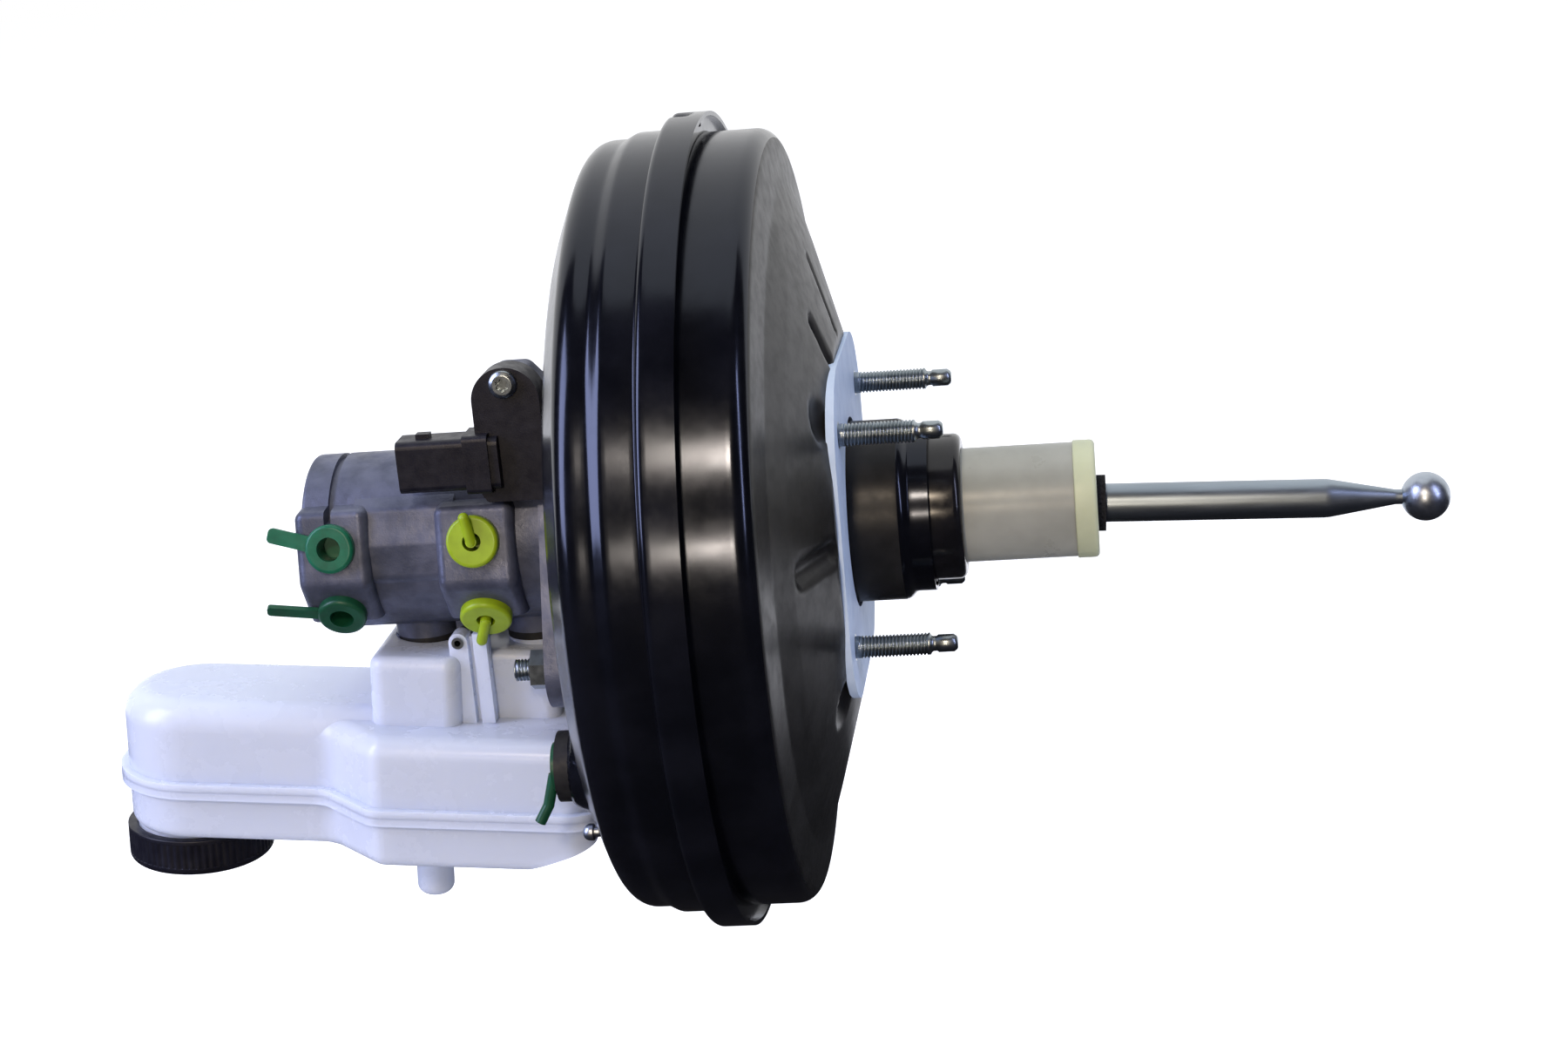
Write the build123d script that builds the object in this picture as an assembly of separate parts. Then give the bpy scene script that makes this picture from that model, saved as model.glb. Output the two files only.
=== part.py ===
from build123d import *
import os
from math import atan2, cos, degrees, hypot, radians, sin, tan

# Vacuum brake booster with its tandem master cylinder and fluid reservoir.
# All sizes are in millimetres. +X runs along the booster's axis towards the pedal, +Z is up as the
# unit hangs with its reservoir below, and X = 0 is the face that meets the firewall.

# Pressed steel shells
SHEET = 1.6
RIM_RADIUS = 148.5
RIM_STEP = 9.0
FRONT_STEP = 5.8
JOGGLE_HEIGHT = 2.2
JOGGLE_RUN = 4.2
SHELL_RADIUS = RIM_RADIUS - RIM_STEP
FRONT_RADIUS = RIM_RADIUS - FRONT_STEP
SHOULDER_RADIUS = FRONT_RADIUS - JOGGLE_HEIGHT
RIM_FRONT_X = -55.8
RIM_BACK_X = -42.5
RIM_DEPTH = 9.9
FRONT_FACE_X = -95.0
FRONT_FACE_RADIUS = 58.0
FRONT_KNEE_X = -92.0
FRONT_KNEE_DROP = 22.5
FRONT_KNEE_RADIUS = SHOULDER_RADIUS - FRONT_KNEE_DROP
SHOULDER_X = -82.5
JOGGLE_X = -72.2
REAR_CORNER_X = -22.0
REAR_SHOULDER_X = -19.0
REAR_SHOULDER_DROP = 19.5
REAR_SHOULDER_RADIUS = SHELL_RADIUS - REAR_SHOULDER_DROP
REAR_CONE_X = -14.0
REAR_CONE_DROP = 16.0
REAR_CONE_RADIUS = REAR_SHOULDER_RADIUS - REAR_CONE_DROP
REAR_FACE_RADIUS = 66.0
LANCE_COUNT = 8
LANCE_START = -2.0
LANCE_WIDTH = 10.0

# Firewall joint
GASKET_THICKNESS = 3.0
GASKET_HALF_WIDTH = 60.0
GASKET_HALF_HEIGHT = 61.0
STUD_SPACING_Y = 80.0
STUD_SPACING_Z = 78.0
STUD_RADIUS = 4.0
STUD_NECK_RADIUS = 4.8
STUD_REACH = 36.3
STUD_TIP_RADIUS = 3.2
STUD_TIP_LENGTH = 9.0
STUD_HEAD_RADIUS = 7.5
STUD_HEAD_HEIGHT = 3.0
PLATE_THICKNESS = 2.0
REAR_PLATE_RADIUS = 62.0

# Grooves, troughs and dimples pressed into the rear cone, each made twice, half a turn apart
PRESSED_START = 68.0
GROOVE_END = 94.0
GROOVE_ANGLE = 90.0
GROOVE_TOOL = 3.0
GROOVE_DEPTH = 1.4
TROUGH_END = 97.0
TROUGH_ANGLE = 4.0
TROUGH_TOOL = 6.5
TROUGH_DEPTH = 3.0
SLOT_END = 84.0
SLOT_ANGLE = 67.0
SLOT_TOOL = 5.0
SLOT_DEPTH = 2.2
DIMPLE_CENTRE_RADIUS = 76.0
DIMPLE_ANGLES = (40.0, -46.0)
DIMPLE_TOOL = 14.0
DIMPLE_DEPTH = 3.2

# Neck of the rear shell, with its guide and seal
NECK_RADIUS = 31.5
NECK_FILLET = 3.0
NECK_STEP_X = 18.0
NECK_TIP_RADIUS = 28.8
NECK_TAPER = 2.7
NECK_END_X = 28.5
COLLAR_RADIUS = 26.5
COLLAR_END_X = 40.0
RUNNING_GAP = 0.08
SEAT_GAP = 0.3
COIL_GAP = 0.1

# Valve body, the moulded hub that carries the diaphragm
TUBE_RADIUS = 20.8
TUBE_BORE = 16.0
TUBE_BORE_START_X = 6.5
TUBE_END_X = 80.0
HUB_RADIUS = 44.0
HUB_FRONT_X = -46.0
HUB_BACK_X = -20.0
HUB_LIP_RADIUS = 41.0
GROOVE_RADIUS = 38.0
GROOVE_FRONT_X = -30.0
GROOVE_BACK_X = -24.0
HUB_RECESS_RADIUS = 32.0
HUB_RECESS_X = -36.0
NOSE_RADIUS = 18.0
DISC_RADIUS = 14.0
DISC_BACK_X = -30.0
DISC_THICKNESS = 5.0
PLUNGER_BORE = 8.0
PASSAGE_WIDTH = 8.0
PASSAGE_DEPTH = 3.0
PASSAGE_COVER = 0.5
VENT_CAP_RADIUS = 21.4
VENT_CAP_END_X = 88.0
VENT_CAP_MOUTH = 13.4

# Diaphragm and its backing plate
PLATE_SHEET = 1.5
DIAPHRAGM_SHEET = 2.0
PLATE_EDGE_DROP = 17.5
PLATE_EDGE_RADIUS = SHELL_RADIUS - PLATE_EDGE_DROP
PLATE_EDGE_RISE = 9.0
PLATE_EDGE_RUN = 6.0
PLATE_ROOT_FILLET = 20.0
PLATE_EDGE_FILLET = 8.0
PLATE_EDGE_X = -48.0
ROLL_BACK_X = -33.0
ROLL_CLEARANCE = 2.7
ROLL_FILLET = 3.5
ROLL_FRONT_OFFSET = 4.0
ROLL_OUTER_RADIUS = SHELL_RADIUS - SHEET - ROLL_CLEARANCE
BEAD_RING_DEPTH = 8.5
BEAD_RING_INNER = RIM_RADIUS - SHEET - BEAD_RING_DEPTH

# Stop key through the valve body
KEY_X = -12.3
KEY_THICKNESS = 3.0
KEY_WIDTH = 16.0
KEY_REACH = 27.0
KEY_FORK = 9.4

# Plunger and pedal rod
PLUNGER_NOSE_X = -28.2
PLUNGER_WAIST_RADIUS = 4.4
PLUNGER_TRAVEL = 1.5
PIVOT_X = 35.0
SOCKET_RADIUS = 9.2
SOCKET_END_X = 38.0
SEAT_X = 8.4
SEAT_RADIUS = 12.0
ROD_DROOP = 2.1
ROD_RADIUS = 7.0
ROD_SHANK_RADIUS = 4.2
ROD_NECK_RADIUS = 2.7
ROD_PIVOT_RADIUS = 5.0
ROD_SHANK_END = 33.0
ROD_STEP_END = 40.0
ROD_LENGTH = 169.7
ROD_NECK_LENGTH = 10.7
ROD_TAPER_LENGTH = 24.0
ROD_NECK_START = ROD_LENGTH - ROD_NECK_LENGTH
ROD_TAPER_START = ROD_NECK_START - ROD_TAPER_LENGTH
BALL_RADIUS = 8.8
SILENCER_RADIUS = 10.2

# Poppet valve, its springs and the air filter
POPPET_X = 11.6
POPPET_FACE = 3.4
POPPET_BELLOWS_END_X = 30.0
POPPET_WALL = 1.3
RETAINER_X = 33.0
RETAINER_THICKNESS = 3.0
SPRING_CUP_OFFSET = 27.0
FILTER_START_X = 66.0
FILTER_END_X = 79.8
FILTER_BORE = 11.5

# Output rod and booster return spring
OUTPUT_HEAD_RADIUS = 13.8
OUTPUT_HEAD_THICKNESS = 4.0
OUTPUT_ROD_RADIUS = 6.0
RETURN_WIRE = 3.4
RETURN_TURNS = 4
RETURN_SMALL_RADIUS = 38.0
RETURN_LARGE_RADIUS = 48.0

# Master cylinder casting
HUB_FACE_X = -102.0
FLANGE_THICKNESS = 9.0
FLANGE_STUD_Y = 38.0
FLANGE_STUD_Z = 42.0
FLANGE_LUG_RADIUS = 14.0
FLANGE_CENTRE_RADIUS = 35.0
SPIGOT_RADIUS = 23.5
SPIGOT_END_X = -88.0
BARREL_RADIUS = 32.5
BELT_RADIUS = 31.0
BARREL_EDGE_Y = -18.0
BARREL_END_X = -199.5
END_GROOVE_X = -188.0
END_GROOVE_WIDTH = 2.6
END_GROOVE_DEPTH = 1.8
END_GROOVE_LOW_Z = 15.0
CYLINDER_BORE = 11.9
BORE_END_X = -190.0
PORT_BORE = 5.08
PORT_DEPTH = 14.0
FRONT_PORT_X = -187.3
FRONT_BOSS_WIDTH = 27.0
FRONT_FACE_DISTANCE = 36.0
FRONT_FACE_RISE = 27.0
FRONT_FACE_FALL = 19.0
FRONT_UPPER_ANGLE = 11.0
FRONT_LOWER_ANGLE = -31.0
REAR_PORT_X = -134.5
REAR_BOSS_WIDTH = 29.0
REAR_FACE_DISTANCE = 37.0
REAR_FACE_RISE = 29.0
REAR_FACE_FALL = 19.0
REAR_UPPER_ANGLE = 11.0
REAR_LOWER_ANGLE = -37.0
INLET_FRONT_X = -164.5
INLET_REAR_X = -122.5
INLET_RADIUS = 12.0
INLET_BORE = 9.0
INLET_END_Z = -36.5
MOUNT_NUT_FLATS = 13.0
MOUNT_NUT_HEIGHT = 7.0
MOUNT_STUD_REACH = 13.5

# Pistons of the master cylinder
PISTON_RADIUS = 11.84
PRIMARY_BACK_X = -93.0
PRIMARY_FRONT_X = -126.0
SECONDARY_BACK_X = -148.0
SECONDARY_FRONT_X = -170.0
PISTON_CUP_RADIUS = 8.6
SEAL_WIDTH = 3.0
SEAL_OUTER_RADIUS = 15.0
PRIMARY_SEAL_XS = (-104.0, -119.0)
SECONDARY_SEAL_XS = (-152.0, -168.5)
SPRING_WIRE = 1.6

# Position sensor
SENSOR_X = -117.2
SENSOR_BACK_Y = -24.0
SENSOR_FRONT_Y = -36.0
SENSOR_TOP_Z = 69.5
SENSOR_SCREW_Z = 63.7
SENSOR_SCREW_RADIUS = 2.5
SENSOR_SCREW_DEPTH = 7.0
SENSOR_LUG_RADIUS = 12.2
CASTING_LUG_DEPTH = 8.5
CASTING_LUG_DROP = 1.5
SENSOR_BOTTOM_Z = 21.0
CONNECTOR_END_X = -158.0
CONNECTOR_START_X = -131.0
CONNECTOR_LOW_Z = 26.4
CONNECTOR_HIGH_Z = 45.3
CONNECTOR_FRONT_Y = -40.0
CONNECTOR_BACK_Y = -24.5
CONNECTOR_WALL = 2.0
SOCKET_FLOOR_X = -141.0
PIN_TIP_X = -149.0

# Reservoir, level with the ground while the booster's axis is not
RES_TILT = 4.5
RES_PIVOT_X = -164.0
RES_PIVOT_Z = -38.0
RES_WALL = 2.4
ARM_CENTRE = -90.5
ARM_HALF_WIDTH = 29.0
ARM_TOP = -22.0
ARM_BOTTOM = -75.0
DIAGONAL_START = -34.5
TANK_START = -12.5
TANK_END = 68.0
TANK_HALF_WIDTH = 48.5
TANK_TOP = -26.0
TANK_BOTTOM = -76.0
TANK_SLOPE_START = 42.0
TANK_SLOPE_RISE = 10.0
SEAM_HEIGHT = -55.0
SEAM_FLANGE = 3.0
SEAM_FLANGE_THICKNESS = 6.0
TOWER_START = -17.0
TOWER_ROOT = 8.0
TOWER_STEP = 17.0
TOWER_END = 52.0
TOWER_HALF_WIDTH = 32.0
TOWER_REAR_HALF_WIDTH = 20.0
STUB_AT = 0.5
STUB_RADIUS = 7.0
STUB_END = -100.5
STUB_Y = -12.0
FILLER_AT = -94.5
FILLER_RADIUS = 23.5
FILLER_BORE = 20.5
FILLER_END = -86.0
CAP_RADIUS = 27.5
CAP_END = -91.3
CAP_START = -77.0
STRAINER_RISE = 10.0
CAP_TOP_THICKNESS = 3.0
NOZZLE_RADIUS = 6.5
NOZZLE_BORE = 4.0
NOZZLE_TOP_Z = -26.0
NOZZLE_SEAT_DEPTH = 6.0
EAR_X = -147.4
EAR_WIDTH = 7.0
EAR_START_Y = 19.0
EAR_END_Y = 26.5
EAR_FOOT_Z = -66.0
PIN_Z = -34.2
PIN_RADIUS = 2.2
PIN_HOLLOW = 1.2
LUG_WIDTH = 8.4
LUG_HALF_DEPTH = 9.0
GROMMET_THICKNESS = 3.0
GROMMET_RADIUS = 11.4

# Transport plugs
GREEN_FLANGE_RADIUS = 8.9
GREEN_HOLLOW_RADIUS = 4.4
YELLOW_FLANGE_RADIUS = 9.5
YELLOW_HOLLOW_RADIUS = 3.4
PLUG_FLANGE_THICKNESS = 3.6
PLUG_SHANK_LENGTH = 8.0
STEM_RADIUS = 2.0
STEM_RISE = 2.5

# Vacuum port on the front shell
VACUUM_ANGLE = radians(-41.7288)
VACUUM_INSET = 41.3435
VACUUM_Y = (VACUUM_INSET - SHOULDER_RADIUS) * cos(VACUUM_ANGLE)
VACUUM_Z = (SHOULDER_RADIUS - VACUUM_INSET) * sin(VACUUM_ANGLE)
VACUUM_BOSS_RADIUS = 17.0
VACUUM_BOSS_X = -99.0
VACUUM_HOLE_RADIUS = 10.0
VACUUM_GROMMET_RADIUS = 12.5
VACUUM_GROMMET_THICKNESS = 5.0
VACUUM_BORE = 6.0
RIVET_ANGLE = -44.2
RIVET_INSET = 17.8
RIVET_SINK = 0.6
RIVET_RADIUS = 3.0
RIVET_SHANK = 1.8

MIN_ALIGN = (Align.CENTER, Align.CENTER, Align.MIN)
REAR_FACE_X = -GASKET_THICKNESS
REAR_INSIDE_X = REAR_FACE_X - SHEET
FLANGE_FRONT_X = HUB_FACE_X - FLANGE_THICKNESS


def rod_x(start, end, radius, y=0.0, z=0.0):
    """A round bar along X."""
    bar = Cylinder(radius, end - start, align=MIN_ALIGN)
    return Pos(start, y, z) * Rot(0, 90, 0) * bar


def ring_x(start, end, outer, inner, y=0.0, z=0.0):
    """A plain ring about a line along X."""
    return rod_x(start, end, outer, y, z) - rod_x(start - 1, end + 1, inner, y, z)


def rod_between(start, end, radius):
    """A round bar between two points."""
    direction = Vector(*end) - Vector(*start)
    plane = Plane(origin=start, z_dir=direction)
    return plane * Cylinder(radius, direction.length, align=MIN_ALIGN)


def capsule(start, end, radius):
    """A bar with a ball at each end, used to press a bead into sheet."""
    ends = Pos(*start) * Sphere(radius) + Pos(*end) * Sphere(radius)
    return rod_between(start, end, radius) + ends


def turned(points, radii=None):
    """Turn a closed outline of (X, radius) points about the X axis."""
    if radii is None:
        outline = Polyline(*points, close=True)
    else:
        outline = FilletPolyline(*points, radius=radii, close=True)
    return revolve(Plane.XZ * make_face(outline), axis=Axis.X)


def turned_under(points, radii):
    """Turn everything between an open (X, radius) path and the X axis."""
    path = FilletPolyline(*points, radius=radii)
    first, last = points[0], points[-1]
    close = Polyline(last, (last[0], 0), (first[0], 0), first)
    return revolve(Plane.XZ * make_face(path + close), axis=Axis.X)


def turned_wall(points, radii, thickness):
    """Turn a sheet whose outer side is the path and whose inner side lies to the path's right."""
    outer = FilletPolyline(*points, radius=radii)
    inner_points = offset_path(points, thickness)
    inner = FilletPolyline(*inner_points, radius=offset_radii(points, radii, thickness))
    ends = Line(points[0], inner_points[0]) + Line(points[-1], inner_points[-1])
    return revolve(Plane.XZ * make_face(outer + inner + ends), axis=Axis.X)


def offset_path(points, distance):
    """Move a path of 2D points to its right by a distance, with mitred corners."""
    normals = []
    for (x0, y0), (x1, y1) in zip(points[:-1], points[1:]):
        length = hypot(x1 - x0, y1 - y0)
        normals.append(((y1 - y0) / length, -(x1 - x0) / length))
    moved = []
    for index, (x, y) in enumerate(points):
        before = normals[max(index - 1, 0)]
        after = normals[min(index, len(normals) - 1)]
        across = 1 + before[0] * after[0] + before[1] * after[1]
        moved.append(
            (
                x + distance * (before[0] + after[0]) / across,
                y + distance * (before[1] + after[1]) / across,
            )
        )
    return moved


def offset_radii(points, radii, distance):
    """Corner radii of the path that lies to the right: smaller where the path turns right."""
    moved = []
    for a, b, c, radius in zip(points[:-2], points[1:-1], points[2:], radii):
        turn = (b[0] - a[0]) * (c[1] - b[1]) - (b[1] - a[1]) * (c[0] - b[0])
        moved.append(max(radius - distance, 0) if turn < 0 else radius + distance)
    return moved


def hexagon(flats, height):
    """A hexagonal prism with chamfered outer corners, rising along +Z."""
    prism = extrude(RegularPolygon(flats / 2, 6, major_radius=False), amount=height)
    lead = flats * 0.09
    cone = Cone(flats / 2 + lead + height, flats / 2 + lead * 0.2, height + lead * 0.8, align=MIN_ALIGN)
    return prism & cone


def coil(start, end, start_radius, end_radius, wire, turns):
    """A compression spring along X, its wire drawn with flats to keep it light."""
    height = end - start - wire - 2 * COIL_GAP
    cone_angle = degrees(atan2(end_radius - start_radius, height))
    path = Helix(height / turns, height, start_radius, cone_angle=cone_angle)
    section = (path ^ 0) * RegularPolygon(wire / 2, 6)
    spring = sweep(section, path=path, is_frenet=True)
    return Pos(start + wire / 2 + COIL_GAP, 0, 0) * Rot(0, 90, 0) * spring


def polar(radius, angle):
    """Y and Z of a point at an angle up from the -Y direction."""
    return (-radius * cos(radians(angle)), radius * sin(radians(angle)))


# Shells

FRONT_PATH = [
    (FRONT_FACE_X, 0.01),
    (FRONT_FACE_X, FRONT_FACE_RADIUS),
    (FRONT_KNEE_X, FRONT_KNEE_RADIUS),
    (SHOULDER_X, SHOULDER_RADIUS),
    (JOGGLE_X, SHOULDER_RADIUS),
    (JOGGLE_X + JOGGLE_RUN, FRONT_RADIUS),
    (RIM_FRONT_X, FRONT_RADIUS),
]
FRONT_RADII = [40, 30, 8, 4, 4]
REAR_PATH = [
    (RIM_FRONT_X + RIM_DEPTH, SHELL_RADIUS),
    (REAR_CORNER_X, SHELL_RADIUS),
    (REAR_SHOULDER_X, REAR_SHOULDER_RADIUS),
    (REAR_CONE_X, REAR_CONE_RADIUS),
    (REAR_FACE_X, REAR_FACE_RADIUS),
    (REAR_FACE_X, NECK_RADIUS),
    (NECK_STEP_X, NECK_RADIUS),
    (NECK_STEP_X + NECK_TAPER, NECK_TIP_RADIUS),
    (NECK_END_X, NECK_TIP_RADIUS),
]
REAR_RADII = [5, 12, 30, 6, NECK_FILLET, 2.5, 2.5]
REAR_FLANGE_X = RIM_FRONT_X + RIM_DEPTH


def mount_pad(inset, face_x):
    """The raised pad that the master cylinder's flange sits on."""
    lugs = [Pos(y, z) * Circle(FLANGE_LUG_RADIUS + 2 - inset) for y, z in flange_stud_places()]
    middle = Circle(FLANGE_CENTRE_RADIUS + 4 - inset)
    outline = make_hull((Sketch() + lugs + middle).edges())
    pad = Pos(face_x, 0, 0) * Rot(0, 90, 0) * Rot(0, 0, 90) * extrude(outline, amount=FRONT_KNEE_X - face_x)
    return pad


def flange_stud_places():
    """Y and Z of the two studs, low on the near side and high on the far side."""
    return [(-FLANGE_STUD_Y, -FLANGE_STUD_Z), (FLANGE_STUD_Y, FLANGE_STUD_Z)]


def front_shell():
    inner_path = offset_path(FRONT_PATH, SHEET)
    outer = turned_under(FRONT_PATH, FRONT_RADII)
    pad = mount_pad(0, HUB_FACE_X)
    pad = fillet(pad.faces().sort_by(Axis.X)[0].edges(), 3.5)
    vacuum = rod_x(VACUUM_BOSS_X, SHOULDER_X, VACUUM_BOSS_RADIUS, VACUUM_Y, VACUUM_Z)
    vacuum = fillet(vacuum.faces().sort_by(Axis.X)[0].edges(), 4)
    outer = outer + pad + vacuum
    inner_path[-1] = (inner_path[-1][0] + 5, inner_path[-1][1])
    inner = turned_under(inner_path, offset_radii(FRONT_PATH, FRONT_RADII, SHEET))
    inner = inner + mount_pad(SHEET, HUB_FACE_X + SHEET)
    vacuum_inner_x = VACUUM_BOSS_X + SHEET
    inner = inner + rod_x(vacuum_inner_x, SHOULDER_X, VACUUM_BOSS_RADIUS - SHEET, VACUUM_Y, VACUUM_Z)
    shell = outer - inner
    rim_points = [
        (RIM_FRONT_X, FRONT_RADIUS - SHEET),
        (RIM_FRONT_X, RIM_RADIUS),
        (RIM_BACK_X, RIM_RADIUS),
        (RIM_BACK_X, RIM_RADIUS - SHEET),
        (RIM_FRONT_X + SHEET, RIM_RADIUS - SHEET),
        (RIM_FRONT_X + SHEET, FRONT_RADIUS - SHEET),
    ]
    shell = shell + turned(rim_points, [0, 2.4, 0, 0, 0, 0])
    for index in range(LANCE_COUNT):
        angle = LANCE_START + 360 / LANCE_COUNT * index
        lance = Box(2.4, LANCE_WIDTH, 4.5, align=(Align.MIN, Align.CENTER, Align.MAX))
        shell = shell + Rot(angle, 0, 0) * Pos(REAR_FLANGE_X, 0, RIM_RADIUS - SHEET / 2) * lance
    shell = shell - rod_x(HUB_FACE_X - 5, FRONT_KNEE_X, SPIGOT_RADIUS + 0.4)
    shell = shell - rod_x(VACUUM_BOSS_X - 5, FRONT_KNEE_X, VACUUM_HOLE_RADIUS, VACUUM_Y, VACUUM_Z)
    for y, z in flange_stud_places():
        shell = shell - rod_x(HUB_FACE_X - 5, FRONT_KNEE_X, STUD_RADIUS, y, z)
    return shell - rod_x(FRONT_FACE_X - 9, SHOULDER_X, RIVET_SHANK, *rivet_place())


def rivet_place():
    """Y and Z of the rivet, on the slope below the shoulder."""
    return polar(SHOULDER_RADIUS - RIVET_INSET, RIVET_ANGLE)


def cone_point(radius, angle, height):
    """A point over the rear cone's slope, at a height above the sheet."""
    slope = atan2(REAR_FACE_X - REAR_CONE_X, REAR_CONE_RADIUS - REAR_FACE_RADIUS)
    x = REAR_FACE_X - (radius - REAR_FACE_RADIUS) * tan(slope)
    y, z = polar(radius + height * sin(slope), angle)
    return (x + height * cos(slope), y, z)


def rear_pressings(sheet):
    """Tools that press the cone's grooves and dimples, grown by the sheet for the inner side."""
    tools = []
    for turn in (0, 180):
        for end, angle, tool, depth in (
            (GROOVE_END, GROOVE_ANGLE, GROOVE_TOOL, GROOVE_DEPTH),
            (TROUGH_END, TROUGH_ANGLE, TROUGH_TOOL, TROUGH_DEPTH),
            (SLOT_END, SLOT_ANGLE, SLOT_TOOL, SLOT_DEPTH),
        ):
            inner_end = cone_point(PRESSED_START, angle + turn, tool - depth)
            outer_end = cone_point(end, angle + turn, tool - depth)
            tools.append(capsule(inner_end, outer_end, tool + sheet))
        for angle in DIMPLE_ANGLES:
            centre = cone_point(DIMPLE_CENTRE_RADIUS, angle + turn, DIMPLE_TOOL - DIMPLE_DEPTH)
            tools.append(Pos(*centre) * Sphere(DIMPLE_TOOL + sheet))
    return tools


def stud_places():
    """Y and Z of the four firewall studs."""
    half_y, half_z = STUD_SPACING_Y / 2, STUD_SPACING_Z / 2
    return [(y, z) for y in (-half_y, half_y) for z in (-half_z, half_z)]


def rear_shell():
    outer = turned_under(REAR_PATH, REAR_RADII)
    for tool in rear_pressings(0):
        outer = outer - tool
    inner_path = offset_path(REAR_PATH, SHEET)
    inner_path[0] = (inner_path[0][0] - 3, inner_path[0][1])
    inner_path[-1] = (inner_path[-1][0] + 1, inner_path[-1][1])
    inner = turned_under(inner_path, offset_radii(REAR_PATH, REAR_RADII, SHEET))
    for tool in rear_pressings(SHEET):
        inner = inner - tool
    shell = outer - inner
    flange_x = REAR_FLANGE_X - SHEET
    shell = shell + ring_x(flange_x, REAR_FLANGE_X, RIM_RADIUS - SHEET, SHELL_RADIUS - SHEET)
    for y, z in stud_places():
        shell = shell - rod_x(REAR_INSIDE_X - 5, 5, STUD_NECK_RADIUS, y, z)
    return shell


def rear_plate():
    plate = ring_x(REAR_INSIDE_X - PLATE_THICKNESS, REAR_INSIDE_X, REAR_PLATE_RADIUS, NECK_RADIUS + 2)
    for y, z in stud_places():
        plate = plate - rod_x(REAR_INSIDE_X - 5, 5, STUD_NECK_RADIUS, y, z)
    return plate


def front_plate():
    inside_x = HUB_FACE_X + SHEET
    lugs = [Pos(y, z) * Circle(FLANGE_LUG_RADIUS - 2) for y, z in flange_stud_places()]
    outline = make_hull((Sketch() + lugs + Circle(FLANGE_CENTRE_RADIUS)).edges())
    plate = Pos(inside_x, 0, 0) * Rot(0, 90, 0) * Rot(0, 0, 90) * extrude(outline, amount=PLATE_THICKNESS)
    plate = plate - rod_x(inside_x - 5, inside_x + 5, SPIGOT_RADIUS + 0.4)
    for y, z in flange_stud_places():
        plate = plate - rod_x(inside_x - 5, inside_x + 5, STUD_RADIUS, y, z)
    return plate


def mounting_gasket():
    outline = RectangleRounded(2 * GASKET_HALF_WIDTH, 2 * GASKET_HALF_HEIGHT, 34)
    sheet = Pos(REAR_FACE_X, 0, 0) * Rot(0, 90, 0) * Rot(0, 0, 90) * extrude(outline, amount=GASKET_THICKNESS)
    sheet = sheet - rod_x(REAR_FACE_X - 1, 1, NECK_RADIUS + NECK_FILLET + SEAT_GAP)
    for y, z in stud_places():
        sheet = sheet - rod_x(REAR_FACE_X - 1, 1, STUD_NECK_RADIUS, y, z)
    return sheet


def firewall_stud():
    """One stud along X, its head inside the shell and its guide tip at the pedal end."""
    head_x = REAR_INSIDE_X - PLATE_THICKNESS - STUD_HEAD_HEIGHT
    tip_x = STUD_REACH - STUD_TIP_LENGTH
    points = [
        (head_x, 0),
        (head_x, STUD_HEAD_RADIUS),
        (head_x + STUD_HEAD_HEIGHT, STUD_HEAD_RADIUS),
        (head_x + STUD_HEAD_HEIGHT, STUD_NECK_RADIUS),
        (0, STUD_NECK_RADIUS),
        (0, STUD_RADIUS),
        (tip_x - 1, STUD_RADIUS),
        (tip_x, STUD_TIP_RADIUS - 0.5),
        (tip_x + 1.5, STUD_TIP_RADIUS - 0.5),
        (tip_x + 2, STUD_TIP_RADIUS),
        (STUD_REACH - 1, STUD_TIP_RADIUS),
        (STUD_REACH, STUD_TIP_RADIUS - 1),
        (STUD_REACH, 0),
    ]
    return turned(points)


def firewall_studs():
    return Compound(children=[Pos(0, y, z) * firewall_stud() for y, z in stud_places()])


def flange_stud():
    """One short stud that holds the master cylinder's flange."""
    head_x = HUB_FACE_X + SHEET + PLATE_THICKNESS
    tip_x = FLANGE_FRONT_X - MOUNT_STUD_REACH
    points = [
        (tip_x, 0),
        (tip_x, STUD_RADIUS - 0.8),
        (tip_x + 0.8, STUD_RADIUS),
        (head_x, STUD_RADIUS),
        (head_x, STUD_HEAD_RADIUS),
        (head_x + STUD_HEAD_HEIGHT, STUD_HEAD_RADIUS),
        (head_x + STUD_HEAD_HEIGHT, 0),
    ]
    return turned(points)


def flange_studs():
    return Compound(children=[Pos(0, y, z) * flange_stud() for y, z in flange_stud_places()])


def flange_nuts():
    nuts = []
    for y, z in flange_stud_places():
        nut = hexagon(MOUNT_NUT_FLATS, MOUNT_NUT_HEIGHT) - Cylinder(STUD_RADIUS, 50)
        nuts.append(Pos(FLANGE_FRONT_X, y, z) * Rot(0, -90, 0) * nut)
    return Compound(children=nuts)


def neck_bushing():
    back_x = KEY_X + KEY_THICKNESS + SEAT_GAP
    return ring_x(back_x, NECK_STEP_X - SHEET, NECK_RADIUS - SHEET, TUBE_RADIUS + RUNNING_GAP)


def neck_collar():
    bore = TUBE_RADIUS + RUNNING_GAP
    seat = NECK_TIP_RADIUS - SHEET
    points = [
        (NECK_STEP_X + NECK_TAPER, bore),
        (NECK_STEP_X + NECK_TAPER, seat),
        (NECK_END_X, seat),
        (NECK_END_X, COLLAR_RADIUS),
        (COLLAR_END_X, COLLAR_RADIUS),
        (COLLAR_END_X, bore),
    ]
    return turned(points, [0, 0, 0, 0, 3, 1.5])


# Power piston

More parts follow.
